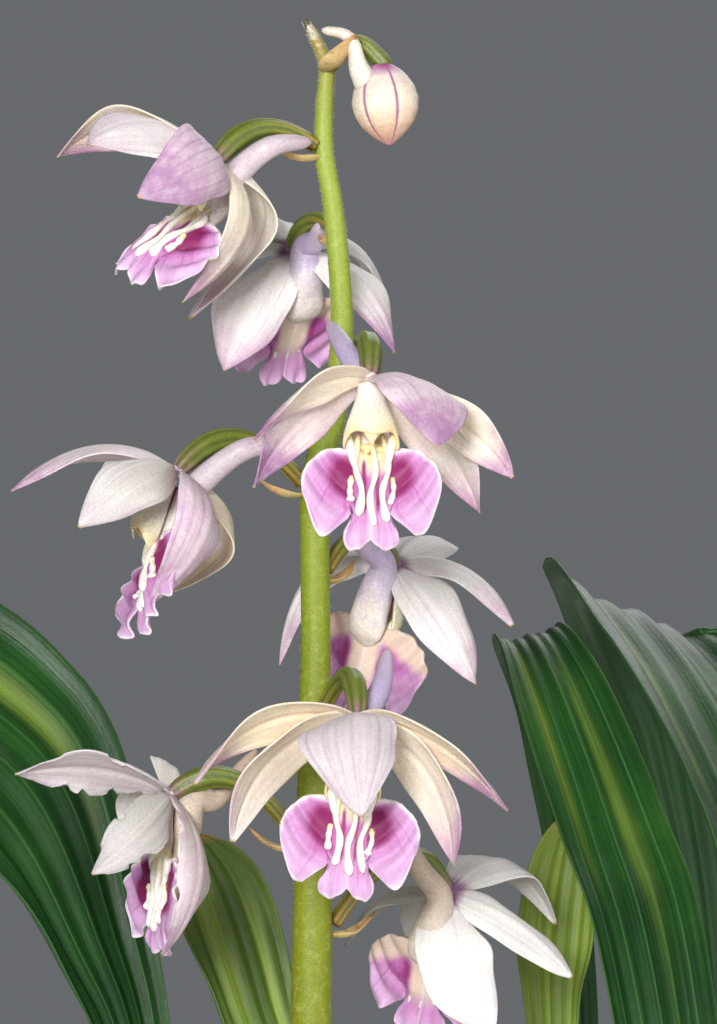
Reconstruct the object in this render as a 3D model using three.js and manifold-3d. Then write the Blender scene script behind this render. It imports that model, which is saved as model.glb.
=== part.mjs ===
// Potted Calanthe aristulifera: a terracotta pot of bark mix, three leafy growths, and one
// upright flower stem with eight nodding blooms and a last bud.
// Millimetres, +Z up. The origin is the middle of the pot's base; the blooms face -Y.

import * as THREE from 'three';
import Module from 'manifold-3d';
import { mergeVertices } from 'three/addons/utils/BufferGeometryUtils.js';

const wasm = await Module();
wasm.setup();

// ---------- driving sizes ----------

const GAP = 0.3;

const POT_HEIGHT = 125;
const POT_TOP_RADIUS = 75;
const POT_BASE_RADIUS = 52;
const POT_RIM_HEIGHT = 27;
const POT_WALL = 6;
const POT_FLOOR = 7;
const DRAIN_RADIUS = 5;
const DRAIN_RING_RADIUS = 29;
const SOIL_TOP = 113;

const TEPAL_THICKNESS = 0.65;
const LEAF_THICKNESS = 0.9;
const LIP_THICKNESS = 0.7;
const HEART_RADIUS = 1.9;
const PEDICEL_STOP = 2.3;

// The flower stem's centre line, bottom to top, and its radius along it.
const SCAPE_ROUTE = [
  [-7.6, 0, 60], [-7.2, 0, 150], [-6.8, 0, 230], [-6.2, 0, 300], [-6.0, 0, 319.1], [-6.0, 0, 330.1],
  [-5.7, 0, 341.1], [-5.8, 0, 352.1], [-5.8, 0, 359.8], [-4.2, 0, 365.3], [-3.5, 0, 368.6],
  [-2.9, 0, 374.1], [-2.9, 0, 379.6], [-3.3, 0, 385.1], [-3.9, 0, 390.6], [-4.8, 0, 396.1],
  [-4.7, 0, 401.6], [-4.5, 0, 405.2], [-5.6, 0, 408.0], [-6.9, 0, 410.4],
];
const SCAPE_RADII = [[0, 2.9], [0.15, 2.3], [0.25, 1.75], [0.45, 1.5], [0.6, 1.25], [0.84, 1.0], [0.92, 0.75], [1, 0.45]];

// Each bloom hangs from its heart, the point where its tepals, column and ovary meet.
// heart and foot are in the part's frame; every other point is an offset from the heart.
// axis runs down the column, front faces the way that the bloom looks.
const BLOOMS = [
  {
    heart: [-16.6, -5, 394.5], foot: [-5.7, -0.6, 396.5], arch: [5, 2.5, 3.8],
    axis: [-0.36, -0.12, -0.92], front: [-0.8, -0.25, 0.5], claw: 5.8,
    spur: [[6, -0.6, 1.5], [10.4, 2, 2.3]],
    lipDown: [-0.76, -0.25, -0.6], lipAcross: [0.35, -0.7, -0.62], lipFold: [-45, -15],
    dorsal: { middle: [-6.8, -1.5, 3.4], tip: [-13.6, -6, 1.4], width: 8.5, twist: [-35, -50] },
    petals: [
      { middle: [-0.7, -9, -0.8], tip: [-7.9, -13, -4.7], width: 8.8, twist: [0, -12] },
      { middle: [-9.2, 5, 4.4], tip: [-17.7, 7, 1], width: 7.4 },
    ],
    sepals: [
      { middle: [3.3, -2.5, -7], tip: [-3.5, -3, -15.5], width: 6.6, twist: [18, 18] },
      { middle: [5.2, 5, -6.2], tip: [-2.8, 6, -16.8], width: 7.5 },
    ],
  },
  {
    heart: [-8.4, 12, 385.8], foot: [-3.5, 1.2, 387.5], arch: [2.2, -4, 2.9],
    axis: [0.16, -0.15, -0.98], front: [-0.5, 0.85, 0.15], claw: 5.9, lipTilt: 1.1,
    spur: [[2.6, -4.4, 0.8], [3.2, -8, 2.4]],
    dorsal: { middle: [-1.8, 7.5, 3.6], tip: [-4.8, 13, 2.5], width: 8.5 },
    petals: [
      { middle: [-6.6, 2, -0.6], tip: [-11.7, 2, -7.7], width: 6.4 },
      { middle: [7, 4, 0.5], tip: [11, 6, -8], width: 6.4 },
    ],
    sepals: [
      { middle: [-4.6, -5, -6.5], tip: [-7.6, -6.5, -13.8], width: 8.6 },
      { middle: [7.6, -3.5, -3.8], tip: [11.4, -5, -11.8], width: 7.8 },
    ],
  },
  {
    heart: [0.2, -16, 370.6], foot: [-2.5, -1, 371.5], arch: [-0.4, 6, 4.2],
    axis: [0.01, -0.22, -0.97], front: [0.06, -0.97, 0.22], claw: 7.6,
    spur: [[-2.6, 6.3, 3.2], [-4.4, 12, 6.4]],
    dorsal: { middle: [5.6, -6.5, -1.2], tip: [6.8, -12.5, -7.5], width: 9.2, twist: [45, 35] },
    petals: [
      { middle: [-6.2, -5, -1.2], tip: [-12.1, -6, -6.8], width: 5.8, twist: [8, 0] },
      { middle: [9.2, -1, -4.6], tip: [15.1, -3, -10.7], width: 5.6, twist: [-10, -20] },
    ],
    sepals: [
      { middle: [-7.3, -1.5, -4.2], tip: [-12.4, -2, -11.7], width: 7 },
      { middle: [7.3, 1, -6], tip: [11.8, 2, -14.4], width: 7 },
    ],
  },
  {
    heart: [-20.7, -5, 360.7], foot: [-7.2, -0.6, 359.5], arch: [6.5, 2.2, 3.6],
    axis: [-0.32, -0.02, -0.95], front: [-0.95, -0.08, 0.3], claw: 8.2,
    spur: [[7.6, -0.8, 2.5], [13.4, 1.5, 2.7]],
    lipDown: [-0.12, -0.62, -0.77], lipAcross: [0, -0.8, 0.6], lipFold: [25, -50],
    dorsal: { middle: [-8.9, -0.5, 2.5], tip: [-18.1, -1, -2.2], width: 8.5 },
    petals: [
      { middle: [-4.2, -8.5, -1], tip: [-10, -12, -6.1], width: 6.6 },
      { middle: [-4.6, 8.5, 0], tip: [-10, 12, -5], width: 6.4 },
    ],
    sepals: [
      { middle: [3.5, -7.5, -5.8], tip: [-2.7, -6.5, -14], width: 9.8 },
      { middle: [5.6, 4, -6.6], tip: [-1.2, 5, -13.2], width: 7.8 },
    ],
  },
  {
    heart: [3, 11, 350.3], foot: [-4.5, 1.3, 350], arch: [-3.8, -4, 3.2],
    axis: [-0.36, -0.12, -0.93], front: [0.5, 0.84, 0.15], claw: 6.8, lipTilt: 0.35,
    spur: [[-3.2, -4.4, 2.2], [-4.4, -8, 4]],
    dorsal: { middle: [3, 7.5, 2.8], tip: [6.7, 13, 2], width: 8.5 },
    petals: [
      { middle: [7.8, 1, -0.5], tip: [13.3, 1, -6.8], width: 7.6 },
      { middle: [-7, 5, -0.5], tip: [-10.5, 7, -9], width: 6 },
    ],
    sepals: [
      { middle: [4.9, -5, -5], tip: [9.05, -6, -13.1], width: 7.8 },
      { middle: [-8.6, -1, -0.9], tip: [-12.8, -3, -11.1], width: 7 },
    ],
  },
  {
    heart: [-1.05, -15, 334.3], foot: [-5.2, -1.5, 333.9], arch: [-1.15, 6, 4.2],
    axis: [-0.07, -0.2, -0.97], front: [0.02, -0.97, 0.2], claw: 8.4,
    spur: [[2.4, 6, 2.8], [3.2, 11, 6.9]],
    dorsal: { middle: [-0.7, -8.5, -1.2], tip: [0.3, -12.5, -9.8], width: 10.6 },
    petals: [
      { middle: [-10.1, -3, -0.4], tip: [-17.4, -4, -6.8], width: 6.4 },
      { middle: [8.5, -3, -2.6], tip: [15.85, -4, -9.7], width: 6.2 },
    ],
    sepals: [
      { middle: [-9.2, -1, -4.2], tip: [-13.3, -2, -13.1], width: 7.6 },
      { middle: [7.4, -1, -5.8], tip: [10.2, -2, -15.6], width: 7 },
    ],
  },
  {
    heart: [-21.6, 0, 325.2], foot: [-7.8, 0, 320.4], arch: [7, 0.5, 1.6],
    axis: [-0.12, -0.05, -0.98], front: [-0.94, -0.25, 0.2], claw: 6.6,
    spur: [[5, 2.6, -0.4], [9.3, 5, 4.6]],
    lipAcross: [0.4, -0.9, 0],
    dorsal: { middle: [-7.8, -2, 3], tip: [-16.9, -4, 2.5], width: 8, twist: [30, 35] },
    petals: [
      { middle: [-2.8, -8, -3.2], tip: [-8.2, -10, -7.9], width: 6.2 },
      { middle: [-3.2, 6.5, -0.5], tip: [-4.9, 9, -6], width: 6 },
    ],
    sepals: [
      { middle: [3.4, -6, -8], tip: [-0.8, -5, -17.2], width: 7.6 },
      { middle: [0.2, 7, 2], tip: [-1.3, 13.5, 2], width: 6.8 },
    ],
  },
  {
    heart: [8.9, 8, 313.6], foot: [-3.7, 1.5, 310.9], arch: [-5.3, -2, 4.3],
    axis: [-0.3, -0.1, -0.95], front: [0.35, 0.92, 0.1], claw: 6, lipTilt: 0.6,
    spur: [[-3.1, -4, 3.2], [-5.1, -6, 7.8]],
    dorsal: { middle: [-1.5, 9, 0.5], tip: [-4.2, 14.5, -6.3], width: 8.5 },
    petals: [
      { middle: [6.6, 8, 3], tip: [12.6, 12, -4.4], width: 7.8 },
      { middle: [-6.3, 5, -0.4], tip: [-11.4, 6, -6.3], width: 6.4 },
    ],
    sepals: [
      { middle: [0.9, -5.5, -7], tip: [4.95, -6, -15], width: 8.8 },
      { middle: [7.7, -1, -3.4], tip: [13.9, 0, -9.3], width: 7.2 },
    ],
  },
];

// Half of the lip's outline: distance across, upper edge and lower edge at that distance.
const LIP_STATIONS = [
  [0, -0.4, 10.6], [0.7, -0.4, 11], [2.0, 0.3, 10.9], [2.9, 0.2, 9.9], [3.35, 0.1, 7.4],
  [4.2, 0.2, 8.9], [5.3, 0.6, 9.6], [6.5, 1.7, 8.0], [7.4, 3.6, 5.2],
];
const KEELS = [
  [[0, -1.5], [-0.5, 2.5], [0.1, 5.5], [-0.3, 8.6]],
  [[-1.3, -1.3], [-1.9, 2.2], [-1.2, 5], [-1.9, 8.2]],
  [[1.3, -1.3], [1.6, 2.2], [1, 4.8], [1.5, 7.6]],
];

const BUD = {
  top: [1.4, -3, 405.2], tip: [2.4, -3, 396.4], radius: 3.7,
  spur: [[0.6, -3.6, 402], [-0.9, -4.4, 404.6], [-1.5, -4.5, 407.1], [-2.6, -4.4, 408.4], [-5, -4.2, 408.9]],
  stalk: [[-4.6, 0, 404.6], [-1.4, -2.2, 407.7], [1.3, -3, 405.8]],
};

// Growths: a bulb in the mix with its leaves. Each leaf's route runs from the bulb's neck to the
// tip; lean is the level direction that it arches in, bank tips it sideways, and rise and fall
// place its widest point.
const GROWTHS = [
  {
    bulb: [-20, 16, 112], radius: 11,
    leaves: [
      {
        route: [
          [-21, 18, 126], [-22.5, 30, 200], [-26, 38, 280], [-32.5, 37, 307],
          [-43, 34, 327], [-65, 28, 335.5], [-94, 14, 319], [-119, 2, 284],
        ],
        width: 50, lean: [-0.7, 0.7], rise: 4, fall: 1.2,
      },
      {
        route: [
          [-17, 12, 126], [-13, 19, 190], [-9.5, 24, 255], [-10.5, 26, 288],
          [-13.5, 26, 300], [-17, 27, 311], [-20.5, 28, 319],
        ],
        width: 12.5, lean: [-0.5, 0.8], rise: 3, fall: 0.7,
      },
      {
        route: [[-25, 12, 126], [-42, 6, 180], [-66, -4, 240], [-100, -22, 268], [-140, -40, 236]],
        width: 44, lean: [-0.93, -0.36], rise: 1.4, fall: 0.9,
      },
    ],
  },
  {
    bulb: [16, 22, 112], radius: 12,
    leaves: [
      {
        route: [
          [15, 22, 126], [24, 50, 200], [27, 73, 290], [22.5, 70, 328], [19.5, 56, 340.8],
          [22.5, 44, 336], [28.2, 28, 319.5], [32.3, 13, 303], [38, -8, 258],
        ],
        width: 14, lean: [0.45, -0.9], bank: -0.25, rise: 3, fall: 0.6,
      },
      {
        route: [
          [21, 28, 126], [36, 70, 200], [46, 100, 280], [41, 100, 327], [34, 83, 343.2],
          [41, 65, 335], [48.5, 46, 318], [53.5, 30, 300], [63, 12, 252],
        ],
        width: 31, lean: [0.4, -0.9], bank: 0.38, rise: 2.2, fall: 0.9,
      },
      {
        route: [
          [19, 15, 126], [24, 22, 180], [24.5, 27, 250],
          [22.2, 29, 292], [22.2, 30, 307], [24.2, 31, 321.5],
        ],
        width: 10, lean: [0.5, 0.8], rise: 4, fall: 0.7,
      },
    ],
  },
  {
    bulb: [0, -26, 111], radius: 9,
    leaves: [
      {
        route: [[-1, -27, 122], [4, -44, 170], [20, -66, 220], [44, -92, 232], [74, -118, 200]],
        width: 40, lean: [0.6, -0.8], rise: 1.4, fall: 0.9,
      },
      {
        route: [[3, -23, 122], [22, -30, 160], [52, -38, 214], [92, -46, 236], [134, -52, 196]],
        width: 42, lean: [0.98, -0.2], rise: 1.4, fall: 0.9,
      },
    ],
  },
];

// ---------- materials ----------

const paint = (color, roughness) => new THREE.MeshStandardMaterial({ color, roughness, metalness: 0, side: THREE.DoubleSide });

const MATERIALS = {
  terracotta: paint('#b4694a', 0.85),
  bark: paint('#4a3626', 0.95),
  leaf: paint('#1f5a22', 0.35),
  scape: paint('#a3b032', 0.6),
  tepal: paint('#eadfe0', 0.5),
  lip: paint('#cf7fb8', 0.5),
  column: paint('#efe6c4', 0.5),
  pedicel: paint('#7d8033', 0.6),
};

// ---------- small helpers ----------

const point = (values) => new THREE.Vector3(...values);
const mix = THREE.MathUtils.lerp;

function lookUp(table, u) {
  const next = table.findIndex((row) => row[0] >= u);
  if (next <= 0) return table[next === 0 ? 0 : table.length - 1][1];
  const [u0, r0] = table[next - 1];
  const [u1, r1] = table[next];
  return mix(r0, r1, (u - u0) / (u1 - u0));
}

// A smooth curve that passes through its middle point half way along.
function bend(start, middle, end) {
  const control = middle.clone().multiplyScalar(2).addScaledVector(start, -0.5).addScaledVector(end, -0.5);
  return new THREE.QuadraticBezierCurve3(start, control, end);
}

const route = (points) => new THREE.CatmullRomCurve3(points, false, 'catmullrom', 0.5);

// Moves every vertex of a closed geometry and merges the seams.
function shaped(geometry, place) {
  const position = geometry.getAttribute('position');
  const vertex = new THREE.Vector3();
  for (let i = 0; i < position.count; i += 1) {
    vertex.fromBufferAttribute(position, i);
    const moved = place(vertex);
    position.setXYZ(i, moved.x, moved.y, moved.z);
  }
  geometry.deleteAttribute('normal');
  geometry.deleteAttribute('uv');
  return mergeVertices(geometry, 1e-4);
}

// A plate of cols by rows squares, one unit thick, whose back face is split like its front.
function plate(cols, rows) {
  const box = new THREE.BoxGeometry(2, 1, 1, cols, rows, 1);
  const { start, count } = box.groups[5];
  const index = box.index.array;
  for (let i = start; i < start + count; i += 6) {
    const [a, b, , , c, d] = index.slice(i, i + 6);
    index.set([a, b, c, a, c, d], i);
  }
  return box;
}

function solid(geometry) {
  const mesh = new wasm.Mesh({
    numProp: 3,
    vertProperties: Float32Array.from(geometry.getAttribute('position').array),
    triVerts: Uint32Array.from(geometry.index.array),
  });
  const body = new wasm.Manifold(mesh);
  return body.volume() < 0 ? flipped(geometry) : body;
}

function flipped(geometry) {
  const index = geometry.index.array;
  for (let i = 0; i < index.length; i += 3) {
    [index[i], index[i + 1]] = [index[i + 1], index[i]];
  }
  return solid(geometry);
}

const fused = (bodies) => bodies.reduce((whole, body) => whole.add(body));
const without = (body, cutters) => cutters.reduce((rest, cutter) => rest.subtract(cutter), body);

function largest(body) {
  const pieces = body.decompose();
  return pieces.reduce((best, piece) => (piece.volume() > best.volume() ? piece : best));
}

function toGeometry(body) {
  const { vertProperties, triVerts, numProp } = body.getMesh();
  const positions = new Float32Array((vertProperties.length / numProp) * 3);
  for (let i = 0; i < positions.length / 3; i += 1) {
    positions.set(vertProperties.subarray(i * numProp, i * numProp + 3), i * 3);
  }
  const geometry = new THREE.BufferGeometry();
  geometry.setAttribute('position', new THREE.BufferAttribute(positions, 3));
  geometry.setIndex(new THREE.BufferAttribute(Uint32Array.from(triVerts), 1));
  geometry.computeVertexNormals();
  return geometry;
}

const part = new THREE.Group();

function addNode(name, body, material) {
  const mesh = new THREE.Mesh(toGeometry(largest(body)), material.clone());
  mesh.name = name;
  part.add(mesh);
}

// ---------- shapes ----------

// A round stalk along a curve, with closed ends and a radius that follows a table.
function stalk(curve, radii, { sides = 8, steps = 10, from = 0, to = 1, grow = 0 } = {}) {
  const rings = [];
  let side = new THREE.Vector3(0.3, 1, 0.2);
  for (let i = 0; i <= steps; i += 1) {
    const u = mix(from, to, i / steps);
    const tangent = curve.getTangent(u);
    side = side.clone().addScaledVector(tangent, -side.dot(tangent)).normalize();
    const end = grow * (i === steps ? 1 : i === 0 ? -1 : 0);
    const centre = curve.getPoint(u).addScaledVector(tangent, end);
    rings.push({ centre, side, other: tangent.clone().cross(side), radius: lookUp(radii, u) + grow });
  }
  const tube = new THREE.CylinderGeometry(1, 1, 1, sides, steps);
  return solid(shaped(tube, (v) => {
    const ring = rings[Math.round((v.y + 0.5) * steps)];
    return ring.centre.clone()
      .addScaledVector(ring.side, v.x * ring.radius)
      .addScaledVector(ring.other, v.z * ring.radius);
  }));
}

// Half width of a pointed blade: widest at rise / (rise + fall) of its length.
function bladeWidth(width, rise, fall) {
  const peak = rise / (rise + fall);
  const top = (peak + 0.02) ** rise * (1 - peak) ** fall;
  return (u) => (width / 2) * (u + 0.02) ** rise * Math.max(0, 1 - u) ** fall / top;
}

// A cupped blade along a curve. Its inner face looks the way that the facing function gives.
function blade(curve, facing, half, options = {}) {
  const { cols = 2, rows = 5, thickness = TEPAL_THICKNESS, cup = 0.5, twist = [0, 0], pleat = 0, grow = 0, least = 0.35 } = options;
  return solid(shaped(plate(cols, rows), (v) => {
    const u = v.y + 0.5;
    const centre = curve.getPoint(u);
    const tangent = curve.getTangent(u);
    const inward = facing(centre, tangent);
    inward.addScaledVector(tangent, -inward.dot(tangent)).normalize();
    inward.applyAxisAngle(tangent, THREE.MathUtils.degToRad(mix(twist[0], twist[1], u)));
    const across = tangent.clone().cross(inward);
    const reach = Math.max(least, half(u)) + grow;
    const angle = cup * v.x;
    const lift = reach * (1 - Math.cos(angle)) / cup;
    const column = Math.round((v.x + 1) / 2 * cols);
    const fold = column % 2 === 0 ? 0 : pleat * Math.min(1, reach / 10);
    const face = inward.clone().multiplyScalar(Math.cos(angle)).addScaledVector(across, -Math.sin(angle));
    return centre
      .addScaledVector(across, reach * Math.sin(angle) / cup)
      .addScaledVector(inward, lift - fold)
      .addScaledVector(face, v.z * (thickness + 2 * grow));
  }));
}

// ---------- one bloom ----------

function bloomFrame(bloom) {
  const axis = point(bloom.axis).normalize();
  const front = point(bloom.front);
  front.addScaledVector(axis, -front.dot(axis)).normalize();
  return { axis, front, across: axis.clone().cross(front) };
}

function lipFrame(bloom, { axis, front, across }, throat) {
  const down = bloom.lipDown ? point(bloom.lipDown) : axis.clone().addScaledVector(front, bloom.lipTilt ?? 0);
  down.normalize();
  const side = bloom.lipAcross ? point(bloom.lipAcross) : across.clone();
  side.addScaledVector(down, -side.dot(down)).normalize();
  const face = side.clone().cross(down);
  if (face.dot(front) < 0) face.negate();
  return { origin: throat.clone().addScaledVector(front, 0.3), side, down, face, fold: bloom.lipFold ?? [0, 0] };
}

// The lip's surface: the side lobes sweep forward, folded up or back on some blooms, and the middle lobe curls back.
function onLip(frame, x, y, lift) {
  const sweep = 1.3 * (x / 7.4) ** 2;
  const curl = 0.05 * Math.max(0, y - 6.5) ** 2;
  const ruffle = 0.25 * Math.sin(y * 1.9 + x * x * 0.25) * Math.min(1, Math.abs(x) / 4);
  const fold = THREE.MathUtils.degToRad(frame.fold[x < 0 ? 0 : 1]);
  const lobe = Math.max(0, Math.abs(x) - 1.2);
  return frame.origin.clone()
    .addScaledVector(frame.side, x - Math.sign(x) * lobe * (1 - Math.cos(fold)))
    .addScaledVector(frame.down, y)
    .addScaledVector(frame.face, sweep - curl + ruffle + lobe * Math.sin(fold) + lift);
}

function lipBlade(frame) {
  const count = LIP_STATIONS.length - 1;
  return solid(shaped(plate(2 * count, 2), (v) => {
    const column = Math.round(v.x * count);
    const [x, top, bottom] = LIP_STATIONS[Math.abs(column)];
    const y = mix(top, bottom, v.y + 0.5);
    return onLip(frame, Math.sign(column) * x, y, v.z * LIP_THICKNESS);
  }));
}

function addBloom(name, bloom, scapeShell) {
  const heart = point(bloom.heart);
  const at = (offset) => heart.clone().add(point(offset));
  const frame = bloomFrame(bloom);
  const { axis, front } = frame;
  const along = (down, out) => heart.clone().addScaledVector(axis, down).addScaledVector(front, out);
  const facing = (centre) => along(8, 6).sub(centre);

  const throat = along(bloom.claw, -0.6);
  const spurLine = route([along(bloom.claw + 0.7, -0.9), along(4, -1.9), along(0.6, -2.6), at(bloom.spur[0]), at(bloom.spur[1])]);
  const spurRadii = [[0, 2.5], [0.25, 2.1], [0.5, 1.45], [0.75, 1.2], [0.95, 0.8], [1, 0.5]];
  const spur = stalk(spurLine, spurRadii, { sides: 7, steps: 7 });
  const spurShell = stalk(spurLine, spurRadii, { sides: 7, steps: 7, grow: GAP });

  const columnLine = route([along(2.4, 0.4), along(4.4, 1.0), along(bloom.claw - 0.8, 1.9)]);
  const columnRadii = [[0, 1.3], [0.6, 1.9], [0.85, 2.2], [1, 1.5]];
  const column = stalk(columnLine, columnRadii, { steps: 4 });
  const columnShell = stalk(columnLine, columnRadii, { steps: 4, grow: GAP });

  const foot = point(bloom.foot);
  const pedicelLine = bend(foot, at(bloom.arch), heart);
  const stop = 1 - PEDICEL_STOP / pedicelLine.getLength();
  const pedicelRadii = [[0, 0.8], [0.45, 1.0], [0.75, 1.3], [1, 1.1]];
  const pedicel = stalk(pedicelLine, pedicelRadii, { sides: 7, steps: 6, to: stop });
  const pedicelShell = stalk(pedicelLine, pedicelRadii, { sides: 7, steps: 6, to: stop, grow: GAP });

  const tepal = ({ middle, tip, width, twist, rise = 0.85 }, grow) => blade(
    bend(heart, at(middle), at(tip)), facing, bladeWidth(width, rise, 0.85), { twist, grow },
  );
  const outline = [bloom.dorsal, ...bloom.petals, ...bloom.sepals];
  const tepals = outline.map((shape) => tepal(shape, 0));
  const tepalShells = outline.map((shape) => tepal(shape, GAP));
  const ball = solid(shaped(new THREE.SphereGeometry(HEART_RADIUS, 8, 5), (v) => v.clone().add(heart)));
  const lipShape = lipFrame(bloom, frame, throat);
  const keels = KEELS.map((keel) => stalk(
    route(keel.map(([x, y]) => onLip(lipShape, x, y, 0.55))), [[0, 0.4], [0.8, 0.45], [1, 0.5]], { sides: 4, steps: 2 },
  ));
  const lip = spur.add(without(fused([lipBlade(lipShape), ...keels]), tepalShells));
  const crown = without(fused([ball, ...tepals]), [spurShell, columnShell, pedicelShell, scapeShell]);

  addNode(`${name}_tepals`, crown, MATERIALS.tepal);
  addNode(`${name}_lip`, without(lip, [columnShell, scapeShell]), MATERIALS.lip);
  addNode(`${name}_column`, column, MATERIALS.column);
  addNode(`${name}_pedicel`, without(pedicel, [spurShell, scapeShell]), MATERIALS.pedicel);
}

// ---------- pot and mix ----------

function ring(profile, segments) {
  const lathe = new THREE.LatheGeometry(profile.map(([r, z]) => new THREE.Vector2(r, z)), segments);
  lathe.rotateX(Math.PI / 2);
  return solid(shaped(lathe, (v) => v.clone()));
}

const innerRadius = (z) => mix(POT_BASE_RADIUS, POT_TOP_RADIUS - 8, z / (POT_HEIGHT - POT_RIM_HEIGHT)) - POT_WALL;
const rimFoot = POT_HEIGHT - POT_RIM_HEIGHT;
const pot = ring([
  [0, 0], [POT_BASE_RADIUS - 1.5, 0], [POT_BASE_RADIUS, 1.5], [POT_TOP_RADIUS - 8, rimFoot - 2],
  [POT_TOP_RADIUS - 3, rimFoot], [POT_TOP_RADIUS, POT_HEIGHT - 2], [POT_TOP_RADIUS - 2, POT_HEIGHT],
  [POT_TOP_RADIUS - 8, POT_HEIGHT], [innerRadius(rimFoot) + 2, rimFoot], [innerRadius(POT_FLOOR), POT_FLOOR], [0, POT_FLOOR],
], 28);
const drains = [0, 1, 2, 3].map((quarter) => {
  const angle = Math.PI / 4 + quarter * Math.PI / 2;
  const drain = new THREE.CylinderGeometry(DRAIN_RADIUS, DRAIN_RADIUS, POT_FLOOR * 3, 12);
  drain.rotateX(Math.PI / 2);
  drain.translate(DRAIN_RING_RADIUS * Math.cos(angle), DRAIN_RING_RADIUS * Math.sin(angle), POT_FLOOR / 2);
  return solid(shaped(drain, (v) => v.clone()));
});
addNode('pot', without(pot, drains), MATERIALS.terracotta);

const scapeCurve = route(SCAPE_ROUTE.map(point));
const scape = stalk(scapeCurve, SCAPE_RADII, { sides: 8, steps: 24 });
const scapeShell = stalk(scapeCurve, SCAPE_RADII, { sides: 8, steps: 24, grow: GAP });

const growthBodies = GROWTHS.map(({ bulb, radius, leaves }) => {
  const body = (grow) => solid(shaped(new THREE.SphereGeometry(1, 10, 7), (v) => (
    new THREE.Vector3(v.x * (radius + grow), v.y * (radius + grow), v.z * (radius * 1.35 + grow)).add(point(bulb))
  )));
  const blades = leaves.map(({ route: points, width, lean, bank = 0, rise, fall }) => {
    const across = new THREE.Vector3(lean[1], -lean[0], bank);
    const half = bladeWidth(width, rise, fall);
    const facing = (centre, tangent) => across.clone().cross(tangent);
    return blade(route(points.map(point)), facing, (u) => half(u) + 3 * Math.max(0, 1 - u * 1.2), {
      cols: 4, rows: 10, thickness: LEAF_THICKNESS, cup: 0.35, pleat: 1.2, least: 0.6,
    });
  });
  const necks = leaves.map(({ route: points }) => stalk(
    route([point(bulb), point(points[0]), point(points[0]).lerp(point(points[1]), 0.35)]),
    [[0, 5], [0.5, 4.4], [1, 1.2]], { sides: 6, steps: 2 },
  ));
  return { body: fused([body(0), ...necks, ...blades]), shell: body(GAP) };
});

const soilLathe = ring([
  [0, POT_FLOOR + GAP], [innerRadius(POT_FLOOR) - GAP - 0.6, POT_FLOOR + GAP],
  [innerRadius(rimFoot) - GAP, rimFoot], [innerRadius(rimFoot) - GAP + 1.4, SOIL_TOP - 1],
  [52, SOIL_TOP + 0.4], [34, SOIL_TOP - 0.6], [16, SOIL_TOP + 0.8], [0, SOIL_TOP],
], 20);
addNode('soil', without(soilLathe, [scapeShell, ...growthBodies.map(({ shell }) => shell)]), MATERIALS.bark);
growthBodies.forEach(({ body }, index) => addNode(`growth_${index + 1}`, without(body, [scapeShell]), MATERIALS.leaf));

addNode('scape', scape, MATERIALS.scape);
BLOOMS.forEach((bloom, index) => addBloom(`bloom_${index + 1}`, bloom, scapeShell));

// ---------- the last bud ----------

const budLine = new THREE.LineCurve3(point(BUD.top), point(BUD.tip));
const budRadii = [[0, 1.2], [0.15, 2.6], [0.45, BUD.radius], [0.75, 2.9], [1, 0.4]];
const budSpur = stalk(route(BUD.spur.map(point)), [[0, 1.0], [0.5, 0.75], [1, 0.5]], { sides: 6, steps: 6 });
addNode('bud_tepals', stalk(budLine, budRadii, { sides: 9, steps: 8 }).add(budSpur), MATERIALS.tepal);
const budStalk = stalk(bend(...BUD.stalk.map(point)), [[0, 0.7], [0.6, 0.95], [1, 0.9]], { sides: 7, steps: 6 });
const budShell = stalk(budLine, budRadii, { sides: 9, steps: 8, grow: GAP });
addNode('bud_pedicel', without(budStalk, [scapeShell, budShell]), MATERIALS.pedicel);

export default part;
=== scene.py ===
import bpy
import math
import numpy as np
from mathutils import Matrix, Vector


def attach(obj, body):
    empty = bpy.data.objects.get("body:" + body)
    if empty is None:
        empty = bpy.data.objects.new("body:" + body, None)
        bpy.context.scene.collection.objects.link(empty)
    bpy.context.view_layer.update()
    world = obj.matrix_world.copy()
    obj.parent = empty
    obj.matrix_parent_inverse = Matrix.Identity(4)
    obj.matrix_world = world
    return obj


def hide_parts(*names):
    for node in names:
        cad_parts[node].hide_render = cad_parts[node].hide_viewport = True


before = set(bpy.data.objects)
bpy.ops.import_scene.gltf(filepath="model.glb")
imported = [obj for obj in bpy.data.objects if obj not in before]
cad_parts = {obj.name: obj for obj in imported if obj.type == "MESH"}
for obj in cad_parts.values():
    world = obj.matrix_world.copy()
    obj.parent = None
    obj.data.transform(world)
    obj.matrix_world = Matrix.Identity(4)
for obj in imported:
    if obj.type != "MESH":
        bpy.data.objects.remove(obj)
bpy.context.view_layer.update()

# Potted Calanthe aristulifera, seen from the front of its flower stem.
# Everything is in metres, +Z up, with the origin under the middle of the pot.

chance = np.random.default_rng(41)
mm = 0.001


# Numbers and colours

def linear(colour):
    values = [int(colour[i:i + 2], 16) / 255 for i in (1, 3, 5)]
    return tuple([v / 12.92 if v <= 0.04045 else ((v + 0.055) / 1.055) ** 2.4 for v in values] + [1.0])


def vec(values):
    return np.array(values, float)


def unit(vector):
    vector = np.asarray(vector, float)
    return vector / np.maximum(1e-12, np.linalg.norm(vector, axis=-1, keepdims=True))


def smooth(low, high, value):
    t = np.clip((value - low) / (high - low), 0, 1)
    return t * t * (3 - 2 * t)


def bump(value, centre, width):
    return np.exp(-((value - centre) / width) ** 2)


# Curves: each is a function from u in 0..1 to points

def bend(start, middle, end):
    start, middle, end = vec(start), vec(middle), vec(end)
    control = 2 * middle - (start + end) / 2

    def at(u):
        u = np.asarray(u, float)[..., None]
        return (1 - u) ** 2 * start + 2 * u * (1 - u) * control + u ** 2 * end
    return at


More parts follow.
